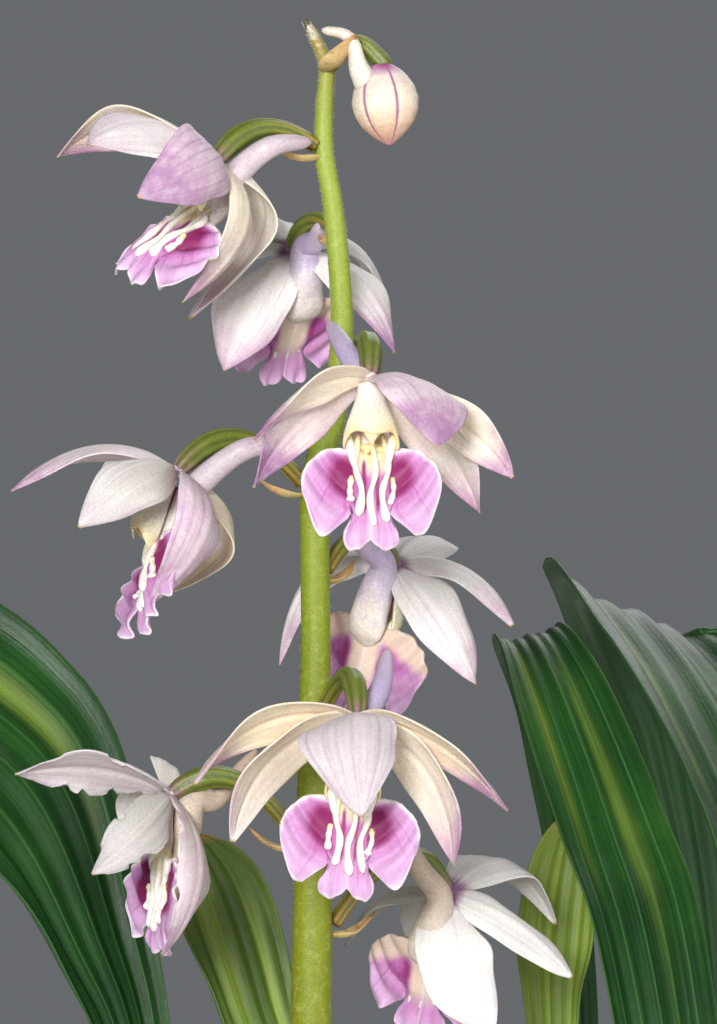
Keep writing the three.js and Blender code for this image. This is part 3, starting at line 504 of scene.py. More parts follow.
# Blooms from the top down. Each blade: its middle and tip from the heart, its width, and its twist in degrees
blooms = [
    {"name": "bloom_1", "heart": (-0.0166, -0.005, 0.3945), "foot": (-0.0057, -0.0006, 0.3965),
        "arch": (0.005, 0.0025, 0.0038),
     "axis": (-0.36, -0.12, -0.92), "front": (-0.8, -0.25, 0.5), "claw": 0.0058,
     "lipDown": (-0.76, -0.25, -0.6), "lipAcross": (0.35, -0.7, -0.62), "lipFold": (-45, -15),
     "spur": [(0.006, -0.0006, 0.0015), (0.0104, 0.002, 0.0023)],
     "dorsal": ((-0.0068, -0.0015, 0.0034), (-0.0136, -0.006, 0.0014), 0.0085, (-35, -50)),
     "petals": [((-0.0007, -0.009, -0.0008), (-0.0079, -0.013, -0.0047), 0.0088, (0, -12)),
                ((-0.0092, 0.005, 0.0044), (-0.0177, 0.007, 0.001), 0.0074)],
     "sepals": [((0.0033, -0.0025, -0.007), (-0.0035, -0.003, -0.0155), 0.0066, (18, 18)),
                ((0.0052, 0.005, -0.0062), (-0.0028, 0.006, -0.0168), 0.0075)]},
    {"name": "bloom_2", "heart": (-0.0084, 0.012, 0.3858), "foot": (-0.0035, 0.0012, 0.3875),
        "arch": (0.0022, -0.004, 0.0029),
     "axis": (0.16, -0.15, -0.98), "front": (-0.5, 0.85, 0.15), "claw": 0.0059, "lipTilt": 1.1,
     "spur": [(0.0026, -0.0044, 0.0008), (0.0032, -0.008, 0.0024)],
     "dorsal": ((-0.0018, 0.0075, 0.0036), (-0.0048, 0.013, 0.0025), 0.0085),
     "petals": [((-0.0066, 0.002, -0.0006), (-0.0117, 0.002, -0.0077), 0.0064),
                ((0.007, 0.004, 0.0005), (0.011, 0.006, -0.008), 0.0064)],
     "sepals": [((-0.0046, -0.005, -0.0065), (-0.0076, -0.0065, -0.0138), 0.0086),
                ((0.0076, -0.0035, -0.0038), (0.0114, -0.005, -0.0118), 0.0078)]},
    {"name": "bloom_3", "heart": (0.0002, -0.016, 0.3706), "foot": (-0.0025, -0.001, 0.3715),
        "arch": (-0.0004, 0.006, 0.0042),
     "axis": (0.01, -0.22, -0.97), "front": (0.06, -0.97, 0.22), "claw": 0.0076,
     "spur": [(-0.0026, 0.0063, 0.0032), (-0.0044, 0.012, 0.0064)],
     "dorsal": ((0.0056, -0.0065, -0.0012), (0.0068, -0.0125, -0.0075), 0.0092, (45, 35)),
     "petals": [((-0.0062, -0.005, -0.0012), (-0.0121, -0.006, -0.0068), 0.0058, (8, 0)),
                ((0.0092, -0.001, -0.0046), (0.0151, -0.003, -0.0107), 0.0056, (-10, -20))],
     "sepals": [((-0.0073, -0.0015, -0.0042), (-0.0124, -0.002, -0.0117), 0.007),
                ((0.0073, 0.001, -0.006), (0.0118, 0.002, -0.0144), 0.007)]},
    {"name": "bloom_4", "heart": (-0.0207, -0.005, 0.3607), "foot": (-0.0072, -0.0006, 0.3595),
        "arch": (0.0065, 0.0022, 0.0036),
     "axis": (-0.32, -0.02, -0.95), "front": (-0.95, -0.08, 0.3), "claw": 0.0082,
         "lipDown": (-0.12, -0.62, -0.77),
     "lipAcross": (0, -0.8, 0.6), "lipFold": (25, -50),
     "spur": [(0.0076, -0.0008, 0.0025), (0.0134, 0.0015, 0.0027)],
     "dorsal": ((-0.0089, -0.0005, 0.0025), (-0.0181, -0.001, -0.0022), 0.0085),
     "petals": [((-0.0042, -0.0085, -0.001), (-0.01, -0.012, -0.0061), 0.0066),
                ((-0.0046, 0.0085, 0), (-0.01, 0.012, -0.005), 0.0064)],
     "sepals": [((0.0035, -0.0075, -0.0058), (-0.0027, -0.0065, -0.014), 0.0098),
                ((0.0056, 0.004, -0.0066), (-0.0012, 0.005, -0.0132), 0.0078)]},
    {"name": "bloom_5", "heart": (0.003, 0.011, 0.3503), "foot": (-0.0045, 0.0013, 0.35),
        "arch": (-0.0038, -0.004, 0.0032),
     "axis": (-0.36, -0.12, -0.93), "front": (0.5, 0.84, 0.15), "claw": 0.0068, "lipTilt": 0.35,
     "spur": [(-0.0032, -0.0044, 0.0022), (-0.0044, -0.008, 0.004)],
     "dorsal": ((0.003, 0.0075, 0.0028), (0.0067, 0.013, 0.002), 0.0085),
     "petals": [((0.0078, 0.001, -0.0005), (0.0133, 0.001, -0.0068), 0.0076),
                ((-0.007, 0.005, -0.0005), (-0.0105, 0.007, -0.009), 0.006)],
     "sepals": [((0.0049, -0.005, -0.005), (0.00905, -0.006, -0.0131), 0.0078),
                ((-0.0086, -0.001, -0.0009), (-0.0128, -0.003, -0.0111), 0.007)]},
    {"name": "bloom_6", "heart": (-0.00105, -0.015, 0.3343), "foot": (-0.0052, -0.0015, 0.3339),
        "arch": (-0.00115, 0.006, 0.0042),
     "axis": (-0.07, -0.2, -0.97), "front": (0.02, -0.97, 0.2), "claw": 0.0084,
     "spur": [(0.0024, 0.006, 0.0028), (0.0032, 0.011, 0.0069)],
     "dorsal": ((-0.0007, -0.0085, -0.0012), (0.0003, -0.0125, -0.0098), 0.0106),
     "petals": [((-0.0101, -0.003, -0.0004), (-0.0174, -0.004, -0.0068), 0.0064),
                ((0.0085, -0.003, -0.0026), (0.01585, -0.004, -0.0097), 0.0062)],
     "sepals": [((-0.0092, -0.001, -0.0042), (-0.0133, -0.002, -0.0131), 0.0076),
                ((0.0074, -0.001, -0.0058), (0.0102, -0.002, -0.0156), 0.007)]},
    {"name": "bloom_7", "heart": (-0.0216, 0, 0.3252), "foot": (-0.0078, 0, 0.3204),
        "arch": (0.007, 0.0005, 0.0016),
     "axis": (-0.12, -0.05, -0.98), "front": (-0.94, -0.25, 0.2), "claw": 0.0066,
     "lipAcross": (0.4, -0.9, 0),
     "spur": [(0.005, 0.0026, -0.0004), (0.0093, 0.005, 0.0046)],
     "dorsal": ((-0.0078, -0.002, 0.003), (-0.0169, -0.004, 0.0025), 0.008, (30, 35)),
     "petals": [((-0.0028, -0.008, -0.0032), (-0.0082, -0.01, -0.0079), 0.0062),
                ((-0.0032, 0.0065, -0.0005), (-0.0049, 0.009, -0.006), 0.006)],
     "sepals": [((0.0034, -0.006, -0.008), (-0.0008, -0.005, -0.0172), 0.0076),
                ((0.0002, 0.007, 0.002), (-0.0013, 0.0135, 0.002), 0.0068)]},
    {"name": "bloom_8", "heart": (0.0089, 0.008, 0.3136), "foot": (-0.0037, 0.0015, 0.3109),
        "arch": (-0.0053, -0.002, 0.0043),
     "axis": (-0.3, -0.1, -0.95), "front": (0.35, 0.92, 0.1), "claw": 0.006, "lipTilt": 0.6,
     "spur": [(-0.0031, -0.004, 0.0032), (-0.0051, -0.006, 0.0078)],
     "dorsal": ((-0.0015, 0.009, 0.0005), (-0.0042, 0.0145, -0.0063), 0.0085),
     "petals": [((0.0066, 0.008, 0.003), (0.0126, 0.012, -0.0044), 0.0078),
                ((-0.0063, 0.005, -0.0004), (-0.0114, 0.006, -0.0063), 0.0064)],
     "sepals": [((0.0009, -0.0055, -0.007), (0.00495, -0.006, -0.015), 0.0088),
                ((0.0077, -0.001, -0.0034), (0.0139, 0, -0.0093), 0.0072)]},
]

growths = [
    {"name": "growth_1", "bulb": (-0.02, 0.016, 0.112), "radius": 0.011, "leaves": [
        {"route": [(-0.021, 0.018, 0.126), (-0.0225, 0.03, 0.2), (-0.026, 0.038, 0.28),
            (-0.0325, 0.037, 0.307), (-0.043, 0.034, 0.327),
                   (-0.065, 0.028, 0.3355), (-0.094, 0.014, 0.319), (-0.119, 0.002, 0.284)],
         "width": 0.05, "lean": (-0.7, 0.7), "bank": 0, "rise": 4, "fall": 1.2},
        {"route": [(-0.017, 0.012, 0.126), (-0.013, 0.019, 0.19), (-0.0095, 0.024, 0.255),
            (-0.0105, 0.026, 0.288), (-0.0135, 0.026, 0.3),
                   (-0.017, 0.027, 0.311), (-0.0205, 0.028, 0.319)],
         "width": 0.0125, "lean": (-0.5, 0.8), "bank": 0, "rise": 3, "fall": 0.7},
        {"route": [(-0.025, 0.012, 0.126), (-0.042, 0.006, 0.18), (-0.066, -0.004, 0.24),
            (-0.1, -0.022, 0.268), (-0.14, -0.04, 0.236)],
         "width": 0.044, "lean": (-0.93, -0.36), "bank": 0, "rise": 1.4, "fall": 0.9},
    ]},
    {"name": "growth_2", "bulb": (0.016, 0.022, 0.112), "radius": 0.012, "leaves": [
        {"route": [(0.015, 0.022, 0.126), (0.024, 0.05, 0.2), (0.027, 0.073, 0.29), (0.0225, 0.07, 0.328),
            (0.0195, 0.056, 0.3408),
                   (0.0225, 0.044, 0.336), (0.0282, 0.028, 0.3195), (0.0323, 0.013, 0.303),
                       (0.038, -0.008, 0.258)],
         "width": 0.014, "lean": (0.45, -0.9), "bank": -0.25, "rise": 3, "fall": 0.6},
        {"route": [(0.021, 0.028, 0.126), (0.036, 0.07, 0.2), (0.046, 0.1, 0.28), (0.041, 0.1, 0.327),
            (0.034, 0.083, 0.3432),
                   (0.041, 0.065, 0.335), (0.0485, 0.046, 0.318), (0.0535, 0.03, 0.3), (0.063, 0.012, 0.252)],
         "width": 0.031, "lean": (0.4, -0.9), "bank": 0.38, "rise": 2.2, "fall": 0.9},
        {"route": [(0.019, 0.015, 0.126), (0.024, 0.022, 0.18), (0.0245, 0.027, 0.25),
            (0.0222, 0.029, 0.292), (0.0222, 0.03, 0.307), (0.0242, 0.031, 0.3215)],
         "width": 0.01, "lean": (0.5, 0.8), "bank": 0, "rise": 4, "fall": 0.7},
    ]},
    {"name": "growth_3", "bulb": (0, -0.026, 0.111), "radius": 0.009, "leaves": [
        {"route": [(-0.001, -0.027, 0.122), (0.004, -0.044, 0.17), (0.02, -0.066, 0.22),
            (0.044, -0.092, 0.232), (0.074, -0.118, 0.2)],
         "width": 0.04, "lean": (0.6, -0.8), "bank": 0, "rise": 1.4, "fall": 0.9},
        {"route": [(0.003, -0.023, 0.122), (0.022, -0.03, 0.16), (0.052, -0.038, 0.214),
            (0.092, -0.046, 0.236), (0.134, -0.052, 0.196)],
         "width": 0.042, "lean": (0.98, -0.2), "bank": 0, "rise": 1.4, "fall": 0.9},
    ]},
]

scapeRoute = [(-0.0076, 0, 0.06), (-0.0072, 0, 0.15), (-0.0068, 0, 0.23), (-0.0062, 0, 0.3),
    (-0.006, 0, 0.3191), (-0.006, 0, 0.3301), (-0.0057, 0, 0.3411), (-0.0058, 0, 0.3521),
    (-0.0058, 0, 0.3598), (-0.0042, 0, 0.3653), (-0.0035, 0, 0.3686), (-0.0029, 0, 0.3741),
    (-0.0029, 0, 0.3796), (-0.0033, 0, 0.3851), (-0.0039, 0, 0.3906), (-0.0048, 0, 0.3961),
    (-0.0047, 0, 0.4016), (-0.0045, 0, 0.4052), (-0.0056, 0, 0.408), (-0.0069, 0, 0.4104)]
scapeRadii = [(0, 0.0029), (0.15, 0.0023), (0.25, 0.00175), (0.45, 0.0015), (0.6, 0.00125), (0.84, 0.001),
    (0.92, 0.00075), (1, 0.00045)]
bud = {"top": (0.0014, -0.003, 0.4052), "tip": (0.0024, -0.003, 0.3964),
    "spur": [(0.0006, -0.0036, 0.402), (-0.0009, -0.0044, 0.4046), (-0.0015, -0.0045, 0.4071),
        (-0.0026, -0.0044, 0.4084), (-0.005, -0.0042, 0.4089)],
    "stalk": [(-0.0046, 0, 0.4046), (-0.0014, -0.0022, 0.4077), (0.0013, -0.003, 0.4058)],
    "stalkEnd": (0.0019, -0.003, 0.4045)}



# Blooms: how each blade is coloured, in the order dorsal sepal, petals, side sepals:
# overall lilac, purple towards the tip, cream, and painted grey shade, then where needed
# purple all over, and how far its margin is eaten
bladeTints = {
    "bloom_1": [(0.35, 0.35, 0.15, 0.1), (1.0, 0.6, 0.1, 0.15, 0.35, 0), (0.2, 0.55, 1.0, 0.0),
        (0.2, 0.6, 0.8, 0.0), (0.2, 0.4, 0.6, 0.3)],
    "bloom_2": [(0.1, 0.2, 0.1, 0.4), (0.1, 0.3, 0.1, 0.5), (0.1, 0.3, 0.1, 0.5), (0.2, 0.6, 0.1, 0.1),
        (0.2, 0.7, 0.1, 0.2)],
    "bloom_3": [(0.75, 0.75, 0.1, 0.2, 0.2, 0), (0.2, 0.8, 0.75, 0.0), (0.15, 0.6, 0.75, 0.0),
        (0.4, 0.8, 0.5, 0.0, 0.1, 0), (0.25, 0.5, 0.55, 0.0)],
    "bloom_4": [(0.5, 0.6, 0.3, 0.1), (0.25, 0.45, 0.35, 0.6), (0.3, 0.5, 0.4, 0.1),
        (0.8, 0.35, 0.2, 0.1, 0.15, 0), (0.1, 0.2, 1.0, 0.0)],
    "bloom_5": [(0.1, 0.3, 0.1, 0.4), (0.2, 0.5, 0.2, 0.2), (0.2, 0.5, 0.2, 0.3), (0.2, 0.55, 0.1, 0.15),
        (0.2, 0.5, 0.1, 0.2)],
    "bloom_6": [(0.65, 0.2, 0.1, 0.6), (0.1, 0.5, 0.85, 0.0), (0.1, 0.7, 0.8, 0.0), (0.15, 0.35, 0.75, 0.0),
        (0.15, 0.6, 0.65, 0.0)],
    "bloom_7": [(0.5, 0.4, 0.3, 0.6, 0.0, 0.4), (0.25, 0.5, 0.3, 0.8, 0.0, 0.35), (0.2, 0.3, 0.3, 0.5),
        (0.55, 0.45, 0.4, 0.15, 0.0, 0.3), (0.1, 0.2, 0.4, 0.4)],
    "bloom_8": [(0.3, 0.2, 0.0, 0.9), (0.1, 0.1, 0.0, 0.6), (0.1, 0.2, 0.1, 0.8), (0.15, 0.3, 0.05, 0.1),
        (0.1, 0.25, 0.05, 0.2)]}
petalSizes = {"rows": 48, "cols": 22, "cup": 0.5, "thickness": 0.00042, "leastHalf": 0.00014, "heart": 0.0009}
# flat and half in mm from the middle line
lipSizes = {"columns": 146, "rows": 36, "thickness": 0.0005, "flat": 1.2, "half": 7.4}
wineDepth = {"bloom_7": 2.2, "bloom_8": 0.7}
darkHearts = {"bloom_1": 0.4, "bloom_2": 1, "bloom_3": 0.1, "bloom_4": 0.5, "bloom_5": 1, "bloom_6": 0.1,
    "bloom_7": 0.5, "bloom_8": 1}
bloomSpur = {"bloom_1": "pinkish", "bloom_2": "lilac", "bloom_3": "lilac", "bloom_4": "pinkish",
    "bloom_5": "lilac", "bloom_6": "lilac", "bloom_7": "beige", "bloom_8": "beige"}
lipTop = [(0, -0.4), (0.7, -0.4), (2, 0.3), (2.9, 0.2), (3.35, 0.1), (4.2, 0.2), (5.3, 0.6), (6.5, 1.7),
    (7.1, 2.6), (7.4, 3.6)]
lipBottom = [(0, 9.8), (0.45, 10.3), (1.1, 10.8), (2, 11), (2.8, 10.4), (3.15, 9.4), (3.4, 7.2), (3.7, 7.9),
    (4.2, 8.9), (4.9, 9.6), (5.6, 9.5), (6.2, 8.5), (6.8, 6.8), (7.3, 5.2), (7.4, 3.9)]
keelLines = [([(0, -1.5), (-0.5, 2.5), (0.1, 5.5), (-0.3, 8.6)], 0.36),
    ([(-1.3, -1.3), (-1.9, 2.2), (-1.2, 5), (-1.9, 8.2)], 0.36),
    ([(1.3, -1.3), (1.6, 2.2), (1, 4.8), (1.5, 7.6)], 0.38), ([(-2.3, 3.4), (-2.5, 4.8), (-2.7, 6.3)], 0.3),
    ([(2.1, 3.2), (2.3, 4.6), (2.9, 6.0)], 0.34)]


def petalBlade(at, turnTo, width, twist, tints, dark, seed):
    blush, flush, warm, grey, whole, eaten = (*tints, 0, 0)[:6]
    half = bladeWidth(width, 0.85, 0.85)

    def relief(u, v, reach):
        fade = smooth(0.02, 0.2, u) * (1 - smooth(0.86, 1, u))
        channel = -0.00024 * bump(v, 0, 0.1) * fade
        ribs = 0.000025 * np.cos(2 * math.pi * 3.5 * v) * fade
        sway = np.sin(2 * math.pi * 1.3 * u + seed + 1.6 * np.sign(v))
        wave = 0.00045 * np.abs(v) ** 3 * sway * reach / 0.004
        return channel + ribs + wave + 0.0003 * v * np.sin(5.5 * u + 2 * seed)

    def margin(u, v):
        wavy = 1 + 0.035 * np.abs(v) * np.sin(2 * math.pi * 2.2 * u + seed + 2 * np.sign(v))
        large = 1.4 * np.sin(9 * u + seed) * np.sin(25 * u + 2 * seed + 2 * np.sign(v))
        bites = np.clip(large + 0.4 * np.sin(61 * u + seed) - 0.15, 0, 1)
        return wavy * (1 - eaten * bites * np.abs(v) ** 6)

    def paint(u, v):
        side = 0.6 + 0.4 * np.sin(seed) * v
        margins = 0.55 * flush * np.abs(v) ** 3 * side * smooth(0.1, 0.5, u)
        return {"blush": blush + 0.2 * u, "deep": flush * smooth(0.5, 1, u) + margins + whole,
            "warm": warm * (1 - 0.35 * u), "grey": grey + 0 * u, "base": dark * (1 - smooth(0.02, 0.16, u)),
            "seed": seed * 3 + 0 * u}

    return blade(at, turnTo, lambda u: np.maximum(petalSizes["leastHalf"], half(u)), petalSizes["rows"],
        petalSizes["cols"], petalSizes["cup"], petalSizes["thickness"], twist, relief, paint, margin)


# How the lip is stained at (x, y) mm: wine beside the keels, paling to a white margin,
# yellow and freckled at its base
def lipStain(x, y, top, bottom):
    size = np.abs(x)
    reach = np.sqrt(((size - 2.4) / 4.7) ** 2 + ((y - 3.4) / 5.6) ** 2)
    edge = np.minimum((bottom - y) / 0.5, (lipSizes["half"] - size) / 0.5)
    inside = smooth(0.1, 1, (y - top) / 0.8) * (0.4 + 0.6 * smooth(0, 1, edge))
    gaps = bump(size, 0.72, 0.3) * smooth(0.6, 2.0, y) * smooth(8.4, 6.2, y)
    middle = smooth(3.4, 2.6, size) * smooth(6.5, 8.5, y)
    gold = smooth(2.6, 1.7, size) * smooth(3.6, 1.4, y)
    return {"stain": np.clip(1.16 - 0.68 * reach + 0.12 * middle, 0, 1) * inside * (1 - 0.75 * gold),
        "wine": 1.15 * smooth(0.8, 0.1, reach) * smooth(1.4, 2.3, size) * inside + 0.95 * gaps,
        "gold": gold * (1 - gaps)}


def makeBloom(bloom, number):
    name, heart = bloom["name"], vec(bloom["heart"])
    axis = unit(bloom["axis"])
    front = vec(bloom["front"])
    front = unit(front - front.dot(axis) * axis)
    across = np.cross(axis, front)
    claw = bloom["claw"]

    def along(down, out, side=0.0):
        return heart + down * axis + out * front + side * across

    def turnTo(centre, tangent):
        return along(0.008, 0.006) - centre

    # Five tepals and the small boss where they meet
    parts = []
    for k, (middle, tip, width, *twist) in enumerate([bloom["dorsal"], *bloom["petals"], *bloom["sepals"]]):
        route = bend(heart, heart + vec(middle), heart + vec(tip))
        parts.append(petalBlade(route, turnTo, width, twist[0] if twist else (0, 0), bladeTints[name][k],
                darkHearts[name], number * 1.7 + k * 2.3))
    boss = readOff([(0, 0.2), (0.12, 0.6), (0.3, 0.92), (0.5, 1), (0.7, 0.92), (0.88, 0.6), (1, 0.2)])
    radius = petalSizes["heart"]
    parts.append(tube(spline([heart - radius * axis, heart, heart + radius * axis]),
            lambda u: radius * boss(u), 18, 12, values={"base": 0.75 * darkHearts[name], "blush": 0.4,
            "warm": 0.4, "deep": 0.5 * darkHearts[name]}))
    makePiece(name + "_sepals_and_petals", parts, [petalSkin], [name + "_tepals"])

    # Lip: side lobes swept forward, a crisped middle lobe, keels, and the claw that narrows into the spur
    throat = along(claw, -0.0006)
    down = unit(bloom["lipDown"] if "lipDown" in bloom else axis + bloom.get("lipTilt", 0) * front)
    side = vec(bloom.get("lipAcross", across))
    side = unit(side - side.dot(down) * down)
    face = np.cross(side, down)
    face = -face if face.dot(front) < 0 else face
    origin, folds = throat + 0.0003 * front, bloom.get("lipFold", (0, 0))

    def onLip(x, y, lift=0.0):
        pinch = 1.35 * bump(np.abs(x), 3.4, 1.2) * bump(y, 7.2, 1.7)
        lobe = np.maximum(0, np.abs(x) - lipSizes["flat"])
        fold = np.radians(np.where(x < 0, folds[0], folds[1]))
        sweep = 1.3 * (x / lipSizes["half"]) ** 2 + lobe * np.sin(fold)
        curl = 0.05 * np.maximum(0, y - 6.5) ** 2
        ruffle = 0.25 * np.sin(1.9 * y + 0.25 * x * x) * np.minimum(1, np.abs(x) / 4)
        x = x - np.sign(x) * (pinch + lobe * (1 - np.cos(fold)))
        return origin + mm * (x[..., None] * side + y[..., None] * down
            + (sweep - curl + ruffle + lift)[..., None] * face)

    columns, rows = lipSizes["columns"], lipSizes["rows"]
    smoothTop = spline(lipTop)(np.linspace(0, 1, 500))
    smoothBottom = spline(lipBottom)(np.linspace(0, 1, 700))
    step = np.linspace(-1, 1, columns + 1)
    t = np.linspace(0, 1, rows + 1)
    gridX, gridT = np.meshgrid(lipSizes["half"] * (0.62 * step + 0.38 * np.sin(1.5 * step) / math.sin(1.5)),
        0.6 * t + 0.4 * np.sin(t * math.pi / 2), indexing="ij")
    top = np.interp(np.abs(gridX), smoothTop[:, 0], smoothTop[:, 1])
    bottom = np.interp(np.abs(gridX), smoothBottom[:, 0], smoothBottom[:, 1])
    phase, size = number * 1.3, np.abs(gridX)
    notches = 0.1 * np.sin(4.4 * gridX + phase) * smooth(2.8, 1.6, size)
    bottom = bottom + notches + 0.1 * np.sin(2.1 * gridX + phase)
    gridY = top + (bottom - top) * gridT
    rim = gridT ** 5
    sideFrill = 0.2 * (size / lipSizes["half"]) ** 6 * np.sin(2.0 * gridY + phase)
    frill = 0.26 * rim * np.sin(3.6 * gridX + phase) + sideFrill
    middle = onLip(gridX, gridY, frill)
    stained = lipStain(gridX, gridY, top, bottom)
    stained["wine"] = stained["wine"] * wineDepth.get(name, 1)
    blank = lipSizes["thickness"] * (1 - 0.5 * rim) * (1 - 0.4 * (size / lipSizes["half"]) ** 4)
    values = dict(stained, rays=np.arctan2(gridX, gridY + 4.0) * 5 + number,
        pale=0.5 * bump(gridX, 0, 0.16) * smooth(6.5, 9, gridY), peach=0 * gridX)
    lipSheet = sheet(middle, face, blank, values)
    behind, x, y = lipSheet["values"]["outer"] > 0.5, np.tile(gridX.ravel(), 2), np.tile(gridY.ravel(), 2)
    flank = bump(np.abs(x), 2.4, 0.8) * bump(y, 4.2, 2.2)
    clawStreak = 0.9 * smooth(1.6, 0.2, y - 0.5 * np.abs(x))
    # From behind: cream streaks from the claw, a peach middle and two dark flanks
    backs = {"wine": 0.8 * flank, "gold": 0 * x, "pale": 0.8 * bump(x, 0, 0.12) * smooth(1, 3, y),
             "peach": 0.95 * smooth(2.3, 1.2, np.abs(x)) * smooth(8.2, 5.5, y) + clawStreak,
             "stain": 0.75 * lipSheet["values"]["stain"] + 0.2}
    for key, value in backs.items():
        lipSheet["values"][key] = np.where(behind, value, lipSheet["values"][key])
    parts = [lipSheet]
    fat = readOff([(0, 0.6), (0.15, 1), (0.5, 0.85), (0.8, 1.05), (0.93, 1.3), (0.98, 0.9), (1, 0.3)])
    for k, (line, width) in enumerate(keelLines):
        line = vec(line)
        route = spline(onLip(line[:, 0], line[:, 1], np.full(len(line), 0.42)))
        wobble = number + 2.1 * k
        parts.append(tube(route, lambda u: mm * width * fat(u) * (1 + 0.14 * math.sin(17 * u + wobble)), 14,
                34, start=tuple(side), flat=1.25, material=1))
    knee = readOff([(0, 0.3), (0.3, 0.5), (0.75, 0.42), (1, 0.2)])
    for way in (-1, 1):
        route = spline([along(claw - 0.0012, 0.0006, way * 0.0024),
                onLip(vec(way * 2.1), vec(0.5), vec(0.5)), onLip(vec(way * 1.6), vec(2.6), vec(0.4))])
        parts.append(tube(route, lambda u: mm * knee(u), 12, 22, material=1))
    at = lambda x, y, lift: onLip(vec(x), vec(y), vec(lift))
    spurLine = spline([at(0, 3.0, -0.22), at(0, 0.8, -1.0), along(0.0042, -0.0018), along(0.0006, -0.0026),
            heart + vec(bloom["spur"][0]), heart + vec(bloom["spur"][1])])
    spurWidth = readOff([(0, 0.15), (0.05, 1.2), (0.14, 2.1), (0.24, 2.45), (0.4, 2.1), (0.6, 1.45),
            (0.8, 1.2), (0.93, 0.85), (0.97, 0.65), (1, 0.25)])
    spurDepth = readOff([(0, 0.2), (0.12, 0.22), (0.3, 0.45), (0.45, 0.95), (0.5, 1)])
    groove = lambda u, angles: 1 - 0.07 * np.cos(2 * angles + 0.5) * (1 - u)
    parts.append(tube(spurLine, lambda u: mm * spurWidth(u), 26, 84, shape=groove, material=2,
            flat=spurDepth, start=tuple(side)))
    makePiece(name + "_lip_and_spur", parts, [lipSkin, keelSkin, spurSkins[bloomSpur[name]]],
        [name + "_lip"])

    # Column: a thin hood open towards the lip, with its anther cap and a small beak
    s, a = np.meshgrid(np.linspace(0, 1, 32), np.linspace(-1, 1, 45), indexing="ij")
    wings = smooth(0.35, 1, np.abs(a))
    down = 0.0009 + s * (claw - 0.0018 + 0.0014 * wings + 0.0002 * np.sin(9 * a + number) * s)
    turn = np.radians(118) * a
    wide, deep = mm * (1.15 + 1.75 * smooth(0, 1, s)), mm * (1.2 + 1.1 * smooth(0, 0.9, s) - 0.35 * s ** 6)
    centre = heart + down[..., None] * axis + (0.0004 + 0.0006 * s)[..., None] * front
    hood = centre + (deep * np.cos(turn))[..., None] * front + (wide * np.sin(turn))[..., None] * across
    outward = np.cos(turn)[..., None] * front + np.sin(turn)[..., None] * across
    parts = [sheet(hood, outward, 0.00038 * (1 - 0.4 * s ** 6), {"along": s})]
    capLine = spline([along(claw - 0.003, 0.0024), along(claw - 0.0019, 0.0027),
            along(claw - 0.0008, 0.0026), along(claw + 0.0003, 0.0022)])
    cap = readOff([(0, 0.6), (0.2, 1.05), (0.5, 1.1), (0.7, 0.75), (0.85, 0.36), (1, 0.12)])
    parts.append(tube(capLine, lambda u: mm * cap(u), 18, 22, flat=0.42, start=tuple(across)))
    parts[-1]["values"]["along"] = 0.7 + 0.3 * parts[-1]["values"]["along"]
    # a lining inside the hood, in painted shade
    lining = spline([along(0.0016, 0.0002), along(0.5 * claw, 0.0004), along(claw - 0.0016, 0.0009)])
    parts.append(tube(lining, lambda u: mm * (1.05 + 1.2 * u) * (1 - 0.5 * u ** 8), 24, 20, flat=0.8,
            start=tuple(across), material=1))
    makePiece(name + "_column_hood", parts, [columnSkin, throatShadeSkin], [name + "_column"])

    # Ovary: a six-ribbed curved stalk from the stem to the heart
    route = bend(bloom["foot"], heart + vec(bloom["arch"]), heart)
    stalkWidth = readOff([(0, 0.8), (0.45, 1.0), (0.75, 1.3), (0.93, 1.1), (1, 0.8)])
    parts = [tube(route, lambda u: mm * stalkWidth(u), 48, 64, ribs=ovaryRibs, ribDepth=0.07)]
    makePiece(name + "_ovary", parts, [ovarySkin], [name + "_pedicel"])


for number, bloom in enumerate(blooms):
    makeBloom(bloom, number)
print("blooms made")

# Stem: a long stalk with a fine down of short hairs
stemSkin = waxMaterial("downy_flower_stem", scapeLook["stops"], rough=0.5, marks="#c6d07c", amount=0.3,
    low=0.5, high=0.8, size=0.9, grain=0.22, bumpy=0.5)
downSkin = waxMaterial("clear_down_hairs", [(0, "#b9c47a"), (1, "#e6e8c8")], rough=0.4)
scapeLine, scapeWidth = spline(scapeRoute), readOff(scapeRadii)
swelling = lambda u, angles: 1 + 0.012 * np.sin(60 * u + 2 * angles) + 0.01 * np.sin(5 * angles)
makePiece("flower_stem", [tube(scapeLine, lambda u: scapeWidth(u), 40, 300, shape=swelling)], [stemSkin],
    ["scape"])

count = scapeLook["hairs"]
u = chance.uniform(0.12, 0.975, count)
around = chance.uniform(0, 2 * math.pi, count)
length = scapeLook["hairLength"] * mm * chance.uniform(0.6, 1.3, count)
centre, along = scapeLine(u), tangents(scapeLine, u)
side = unit(np.cross(along, vec([0, 1, 0])))
out = np.cos(around)[:, None] * side + np.sin(around)[:, None] * np.cross(along, side)
root = centre + out * (scapeWidth(u) * 0.97)[:, None]
tip = root + (out + 0.5 * along * chance.uniform(-0.4, 0.9, count)[:, None]) * length[:, None]
wide = np.cross(out, along) * scapeLook["hairHalf"]
foot = along * scapeLook["hairFoot"]
points = np.stack([root + wide, root - 0.5 * wide + foot, root - 0.5 * wide - foot, tip], 1).reshape(-1, 3)
first = np.arange(count)[:, None] * 4
faces = np.concatenate([first + np.array([corners]) for corners in ([0, 1, 3, 3], [1, 2, 3, 3],
        [2, 0, 3, 3])])
down = {"points": points, "faces": faces, "values": {"along": np.tile([0, 0, 0, 1.0], count)}, "material": 0}
makePiece("stem_down", [down], [downSkin], [])

bractSizes = {"width": 0.0026, "budWidth": 0.0032, "rows": 26, "cols": 12, "cup": 0.9, "thickness": 0.00025,
    "leastHalf": 0.00012}


